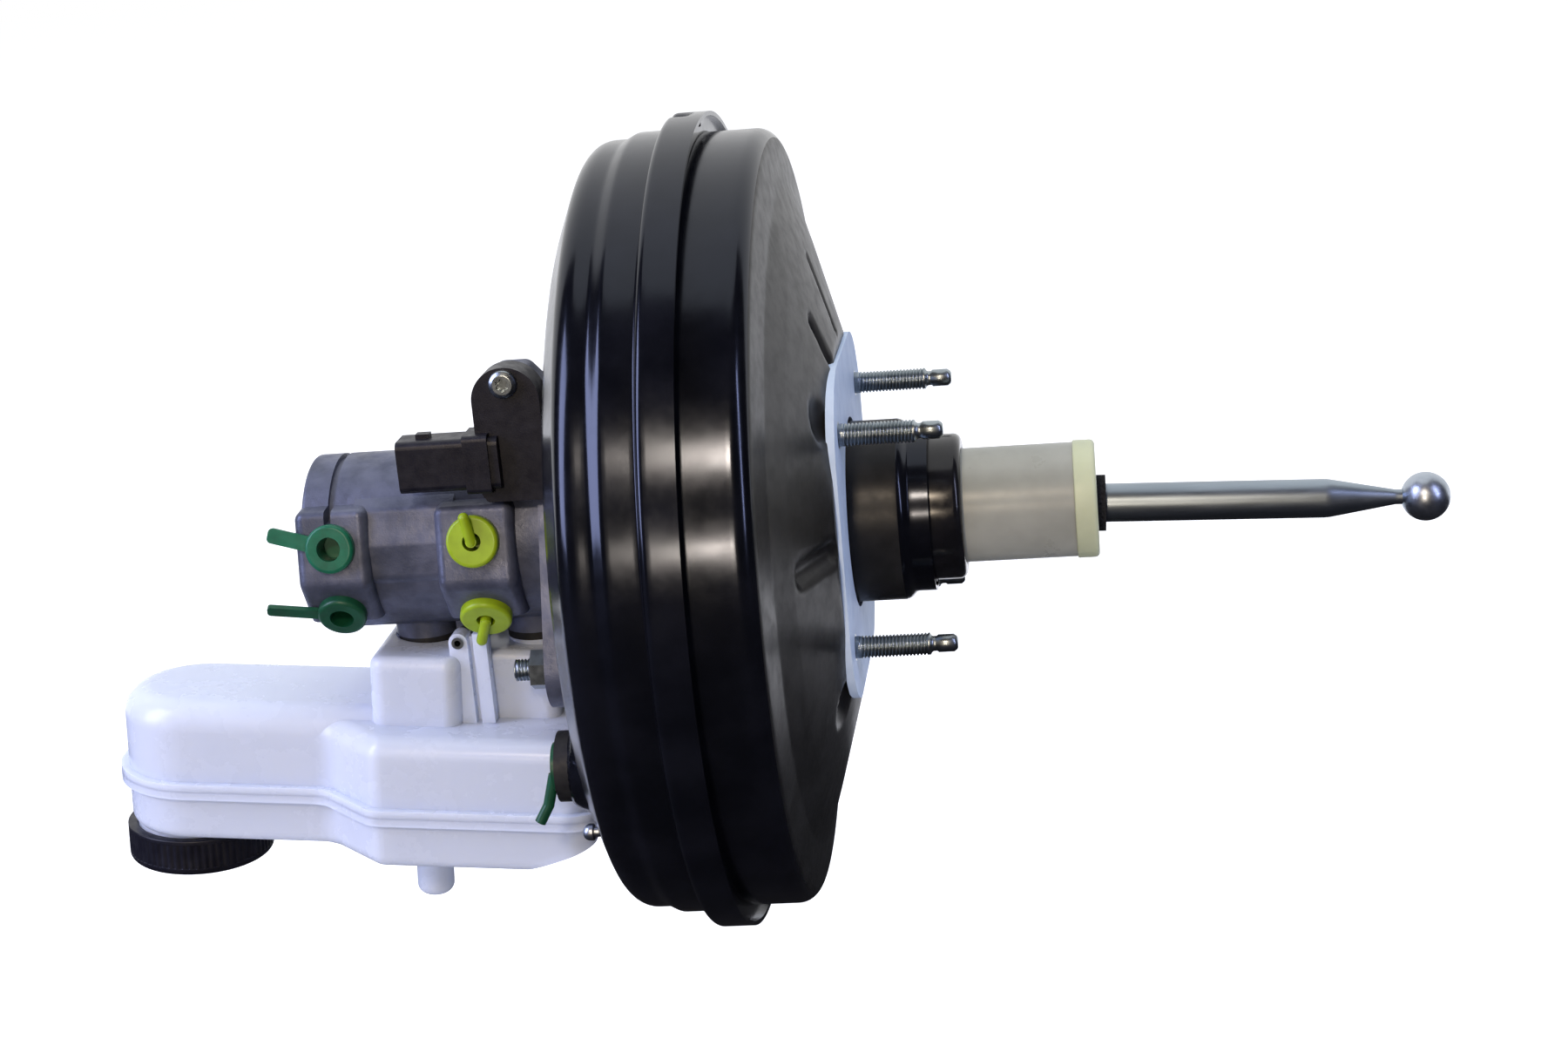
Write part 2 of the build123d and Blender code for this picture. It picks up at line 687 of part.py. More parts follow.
def plate_path():
    return [
        (GROOVE_FRONT_X, GROOVE_RADIUS),
        (GROOVE_FRONT_X, FRONT_FACE_RADIUS),
        (PLATE_EDGE_X + PLATE_EDGE_RUN, PLATE_EDGE_RADIUS - PLATE_EDGE_RISE),
        (PLATE_EDGE_X, PLATE_EDGE_RADIUS),
    ]


def diaphragm_plate():
    return turned_wall(plate_path(), [PLATE_ROOT_FILLET, PLATE_EDGE_FILLET], PLATE_SHEET)


def diaphragm():
    path = offset_path(plate_path(), PLATE_SHEET)
    edge_x, edge_radius = path[-1]
    path = path[:-1] + [
        (edge_x + 0.5, edge_radius + 1),
        (ROLL_BACK_X, edge_radius + 3),
        (ROLL_BACK_X, ROLL_OUTER_RADIUS),
        (REAR_FLANGE_X - ROLL_FRONT_OFFSET, ROLL_OUTER_RADIUS),
        (REAR_FLANGE_X - ROLL_FRONT_OFFSET, BEAD_RING_INNER + 1),
    ]
    radii = [PLATE_ROOT_FILLET, PLATE_EDGE_FILLET, 3, ROLL_FILLET, ROLL_FILLET, 2]
    skin = turned_wall(path, radii, DIAPHRAGM_SHEET)
    inner_bead = ring_x(path[0][0], GROOVE_BACK_X, GROOVE_RADIUS + 4, GROOVE_RADIUS)
    bead_start = RIM_FRONT_X + SHEET + SEAT_GAP
    bead_end = REAR_FLANGE_X - SHEET - SEAT_GAP
    bead_radius = RIM_RADIUS - SHEET - SEAT_GAP
    outer_bead = ring_x(bead_start, bead_end, bead_radius, BEAD_RING_INNER)
    return skin + inner_bead + outer_bead


def valve_body():
    outer_points = [
        (HUB_FRONT_X, 0),
        (HUB_FRONT_X, HUB_RADIUS),
        (GROOVE_FRONT_X, HUB_RADIUS),
        (GROOVE_FRONT_X, GROOVE_RADIUS),
        (GROOVE_BACK_X, GROOVE_RADIUS),
        (GROOVE_BACK_X, HUB_LIP_RADIUS),
        (HUB_BACK_X, HUB_LIP_RADIUS),
        (HUB_BACK_X, TUBE_RADIUS),
        (TUBE_END_X, TUBE_RADIUS),
        (TUBE_END_X, 0),
    ]
    body = turned(outer_points, [0, 1.5, 0, 0, 0, 0.8, 1.5, 3, 0, 0])
    body = body - ring_x(HUB_FRONT_X - 1, HUB_RECESS_X, HUB_RECESS_RADIUS, NOSE_RADIUS)
    body = body - rod_x(HUB_FRONT_X - 1, DISC_BACK_X, DISC_RADIUS)
    body = body - rod_x(DISC_BACK_X - 1, TUBE_BORE_START_X, PLUNGER_BORE)
    body = body - rod_x(TUBE_BORE_START_X, TUBE_END_X + 1, TUBE_BORE)
    length = TUBE_BORE_START_X - HUB_FRONT_X + 2
    passage = Box(length, PASSAGE_WIDTH, PASSAGE_DEPTH, align=(Align.MIN, Align.CENTER, Align.MAX))
    for angle in (60, 120, 240, 300):
        body = body - Rot(angle, 0, 0) * Pos(HUB_FRONT_X - 1, 0, NOSE_RADIUS - PASSAGE_COVER) * passage
    return body - key_slot()


def key_slot():
    slot = Box(KEY_THICKNESS, KEY_WIDTH, 4 * KEY_REACH, align=(Align.MIN, Align.CENTER, Align.CENTER))
    return Pos(KEY_X, 0, 0) * slot


def stop_key():
    bar = Box(KEY_THICKNESS, KEY_WIDTH, 2 * KEY_REACH, align=(Align.MIN, Align.CENTER, Align.CENTER))
    bar = fillet(bar.edges().filter_by(Axis.X), 3)
    fork = Box(KEY_THICKNESS + 2, KEY_FORK, KEY_REACH + 6, align=(Align.MIN, Align.CENTER, Align.MIN))
    return Pos(KEY_X, 0, 0) * (bar - Pos(-1, 0, -6) * fork)


def vent_cap():
    points = [
        (TUBE_END_X, TUBE_BORE),
        (TUBE_END_X, VENT_CAP_RADIUS),
        (VENT_CAP_END_X, VENT_CAP_RADIUS),
        (VENT_CAP_END_X, VENT_CAP_MOUTH),
        (VENT_CAP_END_X - 2, VENT_CAP_MOUTH),
        (VENT_CAP_END_X - 2, TUBE_BORE),
    ]
    return turned(points, [0, 0.5, 1.8, 0.6, 0, 0])


def air_filter():
    return ring_x(FILTER_START_X, FILTER_END_X, TUBE_BORE, FILTER_BORE)


def reaction_disc():
    return rod_x(DISC_BACK_X - DISC_THICKNESS, DISC_BACK_X, DISC_RADIUS)


def output_rod():
    head_x = DISC_BACK_X - DISC_THICKNESS
    neck_x = head_x - OUTPUT_HEAD_THICKNESS
    tip_x = PRIMARY_BACK_X - 4 + SEAT_GAP
    points = [
        (head_x, 0),
        (head_x, OUTPUT_HEAD_RADIUS),
        (neck_x, OUTPUT_HEAD_RADIUS),
        (neck_x - 4, OUTPUT_ROD_RADIUS),
        (tip_x + 8, OUTPUT_ROD_RADIUS),
        (tip_x + 6, OUTPUT_ROD_RADIUS - 1.5),
        (tip_x, OUTPUT_ROD_RADIUS - 1.5),
        (tip_x, 0),
    ]
    return turned(points, [0, 0, 1, 2, 0, 0, 2, 0])


def return_spring():
    seat_x = FRONT_FACE_X + SHEET
    return coil(seat_x, HUB_FRONT_X, RETURN_LARGE_RADIUS, RETURN_SMALL_RADIUS, RETURN_WIRE, RETURN_TURNS)


# Control valve and pedal rod

def plunger():
    bore = PLUNGER_BORE - RUNNING_GAP
    waist_start = KEY_X - 0.5
    waist_end = KEY_X + KEY_THICKNESS + PLUNGER_TRAVEL + 0.5
    points = [
        (PLUNGER_NOSE_X, 0),
        (PLUNGER_NOSE_X, bore),
        (waist_start, bore),
        (waist_start, PLUNGER_WAIST_RADIUS),
        (waist_end, PLUNGER_WAIST_RADIUS),
        (waist_end, bore),
        (SEAT_X, bore),
        (SEAT_X, SEAT_RADIUS),
        (SEAT_X + 2.8, SEAT_RADIUS),
        (SEAT_X + 2.8, SOCKET_RADIUS),
        (SOCKET_END_X, SOCKET_RADIUS),
        (SOCKET_END_X, 0),
    ]
    body = turned(points, [0, 0.8, 0, 0, 0, 0, 0, 0.4, 0.4, 0, 1.5, 0])
    body = body - Pos(PIVOT_X, 0, 0) * Sphere(ROD_PIVOT_RADIUS + RUNNING_GAP)
    mouth = Pos(PIVOT_X, 0, 0) * Rot(0, 90, 0) * Cone(3.3, 5.2, 6, align=MIN_ALIGN)
    return body - mouth


def rod_place():
    """The rod's own axis, drooping from its ball joint."""
    return Pos(PIVOT_X, 0, 0) * Rot(0, ROD_DROOP, 0)


def input_rod():
    pivot_neck = 3.2
    points = [
        (0, 0),
        (0, pivot_neck),
        (6, pivot_neck),
        (8, ROD_SHANK_RADIUS),
        (ROD_SHANK_END, ROD_SHANK_RADIUS),
        (ROD_STEP_END, ROD_RADIUS),
        (ROD_TAPER_START, ROD_RADIUS),
        (ROD_NECK_START, ROD_NECK_RADIUS),
        (ROD_LENGTH, ROD_NECK_RADIUS),
        (ROD_LENGTH, 0),
    ]
    rod = turned(points, [0, 0, 0, 0, 0, 3, 14, 4, 0, 0])
    rod = rod + Sphere(ROD_PIVOT_RADIUS) + Pos(ROD_LENGTH, 0, 0) * Sphere(BALL_RADIUS)
    return rod_place() * rod


def spring_cup():
    points = [
        (SPRING_CUP_OFFSET, ROD_SHANK_RADIUS),
        (SPRING_CUP_OFFSET, 13),
        (SPRING_CUP_OFFSET + 1.2, 13),
        (SPRING_CUP_OFFSET + 1.2, ROD_SHANK_RADIUS),
    ]
    return rod_place() * turned(points)


def rod_silencer():
    start = VENT_CAP_END_X - PIVOT_X - 0.8
    ring = ring_x(start, start + 3.8, SILENCER_RADIUS, ROD_RADIUS)
    return rod_place() * ring


def poppet():
    points = [
        (POPPET_X, SOCKET_RADIUS + 0.5),
        (POPPET_X, TUBE_BORE - 0.6),
        (POPPET_X + POPPET_FACE, TUBE_BORE - 0.6),
        (POPPET_X + POPPET_FACE + 4, TUBE_BORE - 2.8),
        (POPPET_BELLOWS_END_X - 4, TUBE_BORE - 1.4),
        (POPPET_BELLOWS_END_X, TUBE_BORE),
        (RETAINER_X, TUBE_BORE),
        (RETAINER_X, TUBE_BORE - 1.6),
        (POPPET_BELLOWS_END_X, TUBE_BORE - 1.6),
        (POPPET_BELLOWS_END_X - 4, TUBE_BORE - 1.4 - POPPET_WALL),
        (POPPET_X + POPPET_FACE + 4, TUBE_BORE - 2.8 - POPPET_WALL),
        (POPPET_X + POPPET_FACE, TUBE_BORE - 2.8 - POPPET_WALL),
        (POPPET_X + POPPET_FACE, SOCKET_RADIUS + 0.5),
    ]
    return turned(points)


def valve_retainer():
    return ring_x(RETAINER_X, RETAINER_X + RETAINER_THICKNESS, TUBE_BORE, SOCKET_RADIUS + 0.4)


def poppet_spring():
    start = POPPET_X + POPPET_FACE
    return coil(start, RETAINER_X, SOCKET_RADIUS + 1.4, SOCKET_RADIUS + 1.4, 0.8, 4)


def rod_spring():
    start = RETAINER_X + RETAINER_THICKNESS
    end = PIVOT_X + SPRING_CUP_OFFSET - 0.3
    return coil(start, end, 11.2, 11.2, 1.1, 5)


# Master cylinder

def boss_section(face_distance, upper_angle, lower_angle, upper_length, lower_length):
    """Outline in Y and Z of a port boss: two flat faces that meet in a ridge."""
    ridge_angle = (upper_angle + lower_angle) / 2
    ridge_radius = face_distance / cos(radians((upper_angle - lower_angle) / 2))
    ridge = polar(ridge_radius, ridge_angle)
    up = polar(1, upper_angle + 90)
    down = polar(1, lower_angle - 90)
    top = (ridge[0] + up[0] * upper_length, ridge[1] + up[1] * upper_length)
    bottom = (ridge[0] + down[0] * lower_length, ridge[1] + down[1] * lower_length)
    points = [(0, top[1] + 2), top, ridge, bottom, (0, bottom[1] + 4)]
    return FilletPolyline(*points, radius=[6, 3, 6, 0, 0], close=True)


def block_x(outline, start, end):
    """Extrude an outline drawn in Y and Z along X."""
    plane = Plane(origin=(start, 0, 0), x_dir=(0, 1, 0), z_dir=(1, 0, 0))
    return extrude(plane * make_face(outline), amount=end - start)


def port_boss(x, width, section):
    boss = block_x(section, x - width / 2, x + width / 2)
    outer = boss.edges().filter_by(lambda edge: edge.center().Y < BARREL_EDGE_Y)
    rims = outer.filter_by(lambda edge: abs(abs(edge.center().X - x) - width / 2) < 0.1)
    return fillet(rims, 3.5)


def port_tool(x, distance, angle):
    """The bore of one brake-pipe port."""
    outer = (x, *polar(distance + 2, angle))
    inner = (x, *polar(distance - PORT_DEPTH, angle))
    return rod_between(inner, outer, PORT_BORE)


def belt_outline():
    """Outline in Y and Z of the flat-sided web between the two port bosses."""
    points = [
        (0, BELT_RADIUS - 2),
        (-BELT_RADIUS * 0.45, BELT_RADIUS - 2.5),
        (2 - BELT_RADIUS, BELT_RADIUS * 0.6),
        (-BELT_RADIUS - 2, BELT_RADIUS * 0.2),
        (-BELT_RADIUS - 2, -BELT_RADIUS * 0.2),
        (-BELT_RADIUS * 0.83, -BELT_RADIUS * 0.52),
        (0, -BELT_RADIUS * 0.52),
    ]
    return FilletPolyline(*points, radius=[0, 3, 4, 4, 4, 3, 0], close=True)


def sensor_lug():
    """The upright lug of the casting that carries the position sensor."""
    with BuildSketch(Plane.XZ) as outline:
        with BuildLine():
            left = SENSOR_X - SENSOR_LUG_RADIUS + 0.5
            right = HUB_FACE_X
            top = SENSOR_TOP_Z - CASTING_LUG_DROP
            FilletPolyline(
                (left, 0),
                (left, SENSOR_SCREW_Z - 12),
                (SENSOR_X - 6, top),
                (SENSOR_X + 6, top),
                (right, SENSOR_SCREW_Z - 6),
                (right, 0),
                radius=[5, 5, 5, 4, 0, 0],
                close=True,
            )
        make_face()
    return Pos(0, SENSOR_BACK_Y, 0) * extrude(outline.sketch, amount=-CASTING_LUG_DEPTH)


def sensor_relief():
    """The flat milled into the casting behind the sensor's foot."""
    left = SENSOR_X - SENSOR_LUG_RADIUS - SEAT_GAP
    right = SENSOR_X + SENSOR_LUG_RADIUS + SEAT_GAP
    low = SENSOR_BOTTOM_Z - SEAT_GAP
    return span_box(left, right, 2 * SENSOR_FRONT_Y, SENSOR_BACK_Y, low, SENSOR_TOP_Z)


def master_cylinder():
    lugs = [Pos(y, z) * Circle(FLANGE_LUG_RADIUS) for y, z in flange_stud_places()]
    flange_outline = make_hull((Sketch() + lugs + Circle(FLANGE_CENTRE_RADIUS)).edges())
    flange = extrude(flange_outline, amount=FLANGE_THICKNESS)
    body = Pos(FLANGE_FRONT_X, 0, 0) * Rot(0, 90, 0) * Rot(0, 0, 90) * flange
    barrel = rod_x(BARREL_END_X, HUB_FACE_X, BARREL_RADIUS)
    barrel = fillet(barrel.faces().sort_by(Axis.X)[0].edges(), 1.5)
    body = body + barrel + rod_x(HUB_FACE_X - 1, SPIGOT_END_X, SPIGOT_RADIUS)
    body = body + sensor_lug()
    front_angles = (FRONT_UPPER_ANGLE, FRONT_LOWER_ANGLE)
    rear_angles = (REAR_UPPER_ANGLE, REAR_LOWER_ANGLE)
    front = boss_section(FRONT_FACE_DISTANCE, *front_angles, FRONT_FACE_RISE, FRONT_FACE_FALL)
    rear = boss_section(REAR_FACE_DISTANCE, *rear_angles, REAR_FACE_RISE, REAR_FACE_FALL)
    body = body + port_boss(FRONT_PORT_X, FRONT_BOSS_WIDTH, front)
    body = body + port_boss(REAR_PORT_X, REAR_BOSS_WIDTH, rear) - sensor_relief()
    body = body + block_x(belt_outline(), FRONT_PORT_X + 8, REAR_PORT_X - 8)
    for x in (INLET_FRONT_X, INLET_REAR_X):
        body = body + Pos(x, 0, INLET_END_Z) * Cylinder(INLET_RADIUS, -INLET_END_Z, align=MIN_ALIGN)
    lug = span_box(EAR_X - LUG_WIDTH / 2, EAR_X + LUG_WIDTH / 2, -LUG_HALF_DEPTH, LUG_HALF_DEPTH, PIN_Z, 0)
    eye = rod_between((EAR_X, -LUG_HALF_DEPTH, PIN_Z), (EAR_X, LUG_HALF_DEPTH, PIN_Z), LUG_WIDTH / 2)
    body = body + lug + eye - pin_bar(PIN_RADIUS, TANK_HALF_WIDTH)
    body = body - end_groove()
    body = body - rod_x(BORE_END_X, SPIGOT_END_X + 1, CYLINDER_BORE)
    body = body - rod_x(PRIMARY_BACK_X - 3, SPIGOT_END_X + 1, CYLINDER_BORE + 4)
    for x in PRIMARY_SEAL_XS + SECONDARY_SEAL_XS:
        body = body - rod_x(x - SEAL_WIDTH, x, SEAL_OUTER_RADIUS)
    for x in (INLET_FRONT_X, INLET_REAR_X):
        depth = -INLET_END_Z - CYLINDER_BORE - 6
        body = body - Pos(x, 0, INLET_END_Z - 1) * Cylinder(INLET_BORE, depth + 1, align=MIN_ALIGN)
        body = body - Pos(x, 0, INLET_END_Z) * Cylinder(1.5, -INLET_END_Z, align=MIN_ALIGN)
    for x, distance, angle in port_places():
        body = body - port_tool(x, distance, angle)
    body = body - flange_seal_ring()
    for y, z in flange_stud_places():
        body = body - rod_x(FLANGE_FRONT_X - 1, HUB_FACE_X + 1, STUD_RADIUS, y, z)
    screw_start = (SENSOR_X, SENSOR_BACK_Y - 1, SENSOR_SCREW_Z)
    screw_end = (SENSOR_X, SENSOR_BACK_Y + SENSOR_SCREW_DEPTH + 1, SENSOR_SCREW_Z)
    return body - rod_between(screw_start, screw_end, SENSOR_SCREW_RADIUS)


def end_groove():
    """The groove round the upper half of the barrel's end."""
    start = END_GROOVE_X - END_GROOVE_WIDTH / 2
    ring = ring_x(start, start + END_GROOVE_WIDTH, BARREL_RADIUS + 6, BARREL_RADIUS - END_GROOVE_DEPTH)
    reach = 2 * BARREL_RADIUS
    return ring & span_box(END_GROOVE_X - reach, END_GROOVE_X + reach, -reach, reach, END_GROOVE_LOW_Z, reach)


def port_places():
    """X, face distance and angle of the four brake-pipe ports."""
    return [
        (FRONT_PORT_X, FRONT_FACE_DISTANCE, FRONT_UPPER_ANGLE),
        (FRONT_PORT_X, FRONT_FACE_DISTANCE, FRONT_LOWER_ANGLE),
        (REAR_PORT_X, REAR_FACE_DISTANCE, REAR_UPPER_ANGLE),
        (REAR_PORT_X, REAR_FACE_DISTANCE, REAR_LOWER_ANGLE),
    ]


def flange_seal_ring():
    return ring_x(HUB_FACE_X - 2, HUB_FACE_X, SPIGOT_RADIUS + 3, SPIGOT_RADIUS)


def piston(back_x, front_x, socket_depth):
    """A piston with a spring cup in front and a rod socket behind."""
    body = rod_x(front_x, back_x, PISTON_RADIUS)
    cup_x = front_x + (back_x - front_x) * 0.6
    body = body - rod_x(front_x - 1, cup_x, PISTON_CUP_RADIUS)
    if socket_depth:
        body = body - rod_x(back_x - socket_depth, back_x + 1, OUTPUT_ROD_RADIUS)
    return chamfer(body.edges().sort_by(Axis.X)[-1], 0.8)


def cup_x(back_x, front_x):
    return front_x + (back_x - front_x) * 0.6


def magnet_band():
    return (PRIMARY_FRONT_X + 6, PRIMARY_FRONT_X + 12)


def primary_piston():
    body = piston(PRIMARY_BACK_X, PRIMARY_FRONT_X, 4)
    start, end = magnet_band()
    return body - ring_x(start, end, PISTON_RADIUS + 1, PISTON_RADIUS - 1.6)


def sensor_magnet():
    start, end = magnet_band()
    return ring_x(start, end, PISTON_RADIUS, PISTON_RADIUS - 1.6)


def secondary_piston():
    return piston(SECONDARY_BACK_X, SECONDARY_FRONT_X, 0)


def primary_spring():
    return coil(SECONDARY_BACK_X, cup_x(PRIMARY_BACK_X, PRIMARY_FRONT_X), 6.4, 6.4, SPRING_WIRE, 6)


def secondary_spring():
    return coil(BORE_END_X, cup_x(SECONDARY_BACK_X, SECONDARY_FRONT_X), 6.4, 6.4, SPRING_WIRE, 5)


def piston_seals():
    seals = []
    for x in PRIMARY_SEAL_XS + SECONDARY_SEAL_XS:
        seals.append(ring_x(x - SEAL_WIDTH, x, SEAL_OUTER_RADIUS, CYLINDER_BORE))
    return Compound(children=seals)


def piston_guide():
    return ring_x(PRIMARY_BACK_X - 3, SPIGOT_END_X - 1.5, CYLINDER_BORE + 4, CYLINDER_BORE)


# Position sensor

def position_sensor():
    with BuildSketch(Plane.XZ) as outline:
        with BuildLine():
            left = SENSOR_X - SENSOR_LUG_RADIUS
            right = SENSOR_X + SENSOR_LUG_RADIUS
            FilletPolyline(
                (left, SENSOR_BOTTOM_Z + 3),
                (left, SENSOR_TOP_Z),
                (right, SENSOR_TOP_Z),
                (right, SENSOR_BOTTOM_Z),
                (left + 2, SENSOR_BOTTOM_Z),
                radius=[2, SENSOR_LUG_RADIUS - 0.2, SENSOR_LUG_RADIUS - 0.2, 1.5, 1.5],
                close=True,
            )
        make_face()
    plate = Pos(0, SENSOR_FRONT_Y, 0) * extrude(outline.sketch, amount=SENSOR_FRONT_Y - SENSOR_BACK_Y)
    width_y = CONNECTOR_BACK_Y - CONNECTOR_FRONT_Y
    width_z = CONNECTOR_HIGH_Z - CONNECTOR_LOW_Z
    middle_y = (CONNECTOR_BACK_Y + CONNECTOR_FRONT_Y) / 2
    middle_z = (CONNECTOR_HIGH_Z + CONNECTOR_LOW_Z) / 2
    length = SENSOR_X - 4 - CONNECTOR_END_X
    shroud = Box(length, width_y, width_z, align=(Align.MIN, Align.CENTER, Align.CENTER))
    shroud = fillet(shroud.edges().filter_by(Axis.X), 2.6)
    cavity_length = SOCKET_FLOOR_X - CONNECTOR_END_X
    cavity = Box(cavity_length + 1, width_y - 2 * CONNECTOR_WALL, width_z - 2 * CONNECTOR_WALL,
                 align=(Align.MIN, Align.CENTER, Align.CENTER))
    cavity = fillet(cavity.edges().filter_by(Axis.X), 1.2)
    place = Pos(CONNECTOR_END_X, middle_y, middle_z)
    depth = SENSOR_BACK_Y - CONNECTOR_FRONT_Y + 0.7
    collar = Box(9, depth, width_z + 2.4, align=(Align.MIN, Align.MIN, Align.CENTER))
    collar = fillet(collar.edges().filter_by(Axis.X), 2)
    collar = Pos(CONNECTOR_START_X - 2.5, CONNECTOR_FRONT_Y - 1, middle_z) * collar
    latch = Pos(CONNECTOR_END_X + 9, middle_y, CONNECTOR_HIGH_Z) * Box(5, 4, 3.2)
    body = plate + place * shroud + collar + latch - place * Pos(-1, 0, 0) * cavity
    hole_start = (SENSOR_X, SENSOR_FRONT_Y - 5, SENSOR_SCREW_Z)
    hole = rod_between(hole_start, (SENSOR_X, 0, SENSOR_SCREW_Z), SENSOR_SCREW_RADIUS)
    for z in pin_heights():
        body = body - Pos(SOCKET_FLOOR_X, middle_y, z) * pin_blade(-2, 6)
    return body - hole


def pin_heights():
    middle_z = (CONNECTOR_HIGH_Z + CONNECTOR_LOW_Z) / 2
    return [middle_z - 4.5, middle_z, middle_z + 4.5]


def pin_blade(start, end):
    blade = Box(end - start, 0.8, 2.2, align=(Align.MIN, Align.CENTER, Align.CENTER))
    return Pos(start, 0, 0) * blade


def sensor_pins():
    middle_y = (CONNECTOR_BACK_Y + CONNECTOR_FRONT_Y) / 2
    reach = PIN_TIP_X - SOCKET_FLOOR_X
    return Compound(children=[Pos(SOCKET_FLOOR_X, middle_y, z) * pin_blade(reach, 6) for z in pin_heights()])


def sensor_screw():
    head_y = SENSOR_FRONT_Y
    end = 2.6 + SENSOR_BACK_Y - SENSOR_FRONT_Y + SENSOR_SCREW_DEPTH
    points = [
        (0, 0),
        (0, 3.6),
        (0.9, 5.0),
        (2.6, 5.2),
        (2.6, SENSOR_SCREW_RADIUS),
        (end, SENSOR_SCREW_RADIUS),
        (end, 0),
    ]
    screw = turned(points, [0, 0.8, 0.8, 0, 0, 0.6, 0])
    star = Sketch() + [Rot(0, 0, 60 * index) * Pos(1.7, 0) * Circle(0.75) for index in range(6)] + Circle(1.7)
    drive = Rot(0, 90, 0) * extrude(star, amount=1.8)
    screw = screw - drive
    return Pos(SENSOR_X, head_y - 2.6, SENSOR_SCREW_Z) * Rot(0, 0, 90) * screw


# Reservoir

def res_place():
    """The reservoir's own frame: level, with its origin at the top of the tower."""
    return Pos(RES_PIVOT_X, 0, RES_PIVOT_Z) * Rot(0, RES_TILT, 0)


def prism_z(outline, low, high):
    return Pos(0, 0, low) * extrude(make_face(outline), amount=high - low)


def arm_outline(inset, end):
    half = ARM_HALF_WIDTH - inset
    start = ARM_CENTRE - half
    points = [(start, -half), (end, -half), (end, half), (start, half)]
    return FilletPolyline(*points, radius=[half - 0.05, 0, 0, half - 0.05], close=True)


def tank_outline(inset):
    """Plan of the tank: the narrow arm widening along a diagonal to the full width."""
    arm = ARM_HALF_WIDTH - inset
    wide = TANK_HALF_WIDTH - inset
    start = ARM_CENTRE - arm
    end = TANK_END - inset
    points = [
        (start, -arm),
        (DIAGONAL_START + inset / 2, -arm),
        (TANK_START + inset / 2, -wide),
        (end, -wide),
        (end, wide),
        (TANK_START + inset / 2, wide),
        (DIAGONAL_START + inset / 2, arm),
        (start, arm),
    ]
    round_end = arm - 0.05
    radii = [round_end, 12, 8 - inset / 2, 10 - inset, 10 - inset, 8 - inset / 2, 12, round_end]
    return FilletPolyline(*points, radius=radii, close=True)


def upper_form(inset):
    """Outer form of the reservoir's upper half, or the space inside it."""
    arm = prism_z(arm_outline(inset, TOWER_START + 8), SEAM_HEIGHT, ARM_TOP - inset)
    arm = fillet(arm.faces().sort_by(Axis.Z)[-1].edges().sort_by(Axis.X)[:-1], 10 - inset)
    tank = prism_z(tank_outline(inset), SEAM_HEIGHT, TANK_TOP - inset)
    tank = fillet(tank.faces().sort_by(Axis.Z)[-1].edges(), 7 - inset)
    return arm + tank + tower_form(inset)


def tower_form(inset):
    low = TANK_TOP - TOWER_ROOT
    wide = TOWER_HALF_WIDTH - inset
    narrow = TOWER_REAR_HALF_WIDTH - inset
    front = span_box(TOWER_START + inset, TOWER_STEP - inset, -wide, wide, low, -inset)
    front = fillet(front.edges().filter_by(Axis.Z), 6 - inset)
    front = fillet(front.faces().sort_by(Axis.Z)[-1].edges(), 4 - inset)
    rear = span_box(TOWER_STEP - TOWER_ROOT + inset, TOWER_END - inset, -narrow, narrow, low, -inset)
    rear = fillet(rear.edges().filter_by(Axis.Z).sort_by(Axis.X)[-2:], 6 - inset)
    rear = fillet(rear.faces().sort_by(Axis.Z)[-1].edges().sort_by(Axis.X)[1:], 3.5 - inset)
    return front + rear


def pin_ear(side):
    """One ear of the tower for the retaining pin: a thin web with two ribs over it."""
    front, back = EAR_START_Y * side, EAR_END_Y * side
    low = EAR_FOOT_Z
    web = span_box(EAR_X - EAR_WIDTH / 2, EAR_X + EAR_WIDTH * 1.5, front, (front + back) / 2, low, PIN_Z + 1)
    first = span_box(EAR_X - EAR_WIDTH / 2, EAR_X + EAR_WIDTH / 2, front, back, low, PIN_Z)
    second = span_box(EAR_X + EAR_WIDTH * 0.8, EAR_X + EAR_WIDTH * 1.5, front, back, low, PIN_Z + 3)
    eye = rod_between((EAR_X, front, PIN_Z), (EAR_X, back, PIN_Z), EAR_WIDTH / 2)
    return web + first + second + eye


def span_box(x0, x1, y0, y1, z0, z1):
    """A box between two corners."""
    block = Box(abs(x1 - x0), abs(y1 - y0), abs(z1 - z0))
    return Pos((x0 + x1) / 2, (y0 + y1) / 2, (z0 + z1) / 2) * block


def pin_bar(radius, half_length):
    """A round bar along Y on the retaining pin's axis."""
    return rod_between((EAR_X, -half_length, PIN_Z), (EAR_X, half_length, PIN_Z), radius)


def nozzle(x, outer, inner, low):
    """An outlet that stands upright under one inlet of the cylinder."""
    tube = Pos(x, 0, low) * Cylinder(outer, NOZZLE_TOP_Z - low, align=MIN_ALIGN)
    return tube - Pos(x, 0, low - 1) * Cylinder(inner, NOZZLE_TOP_Z - low + 2, align=MIN_ALIGN)


def grommet_low_z():
    return INLET_END_Z - GROMMET_THICKNESS


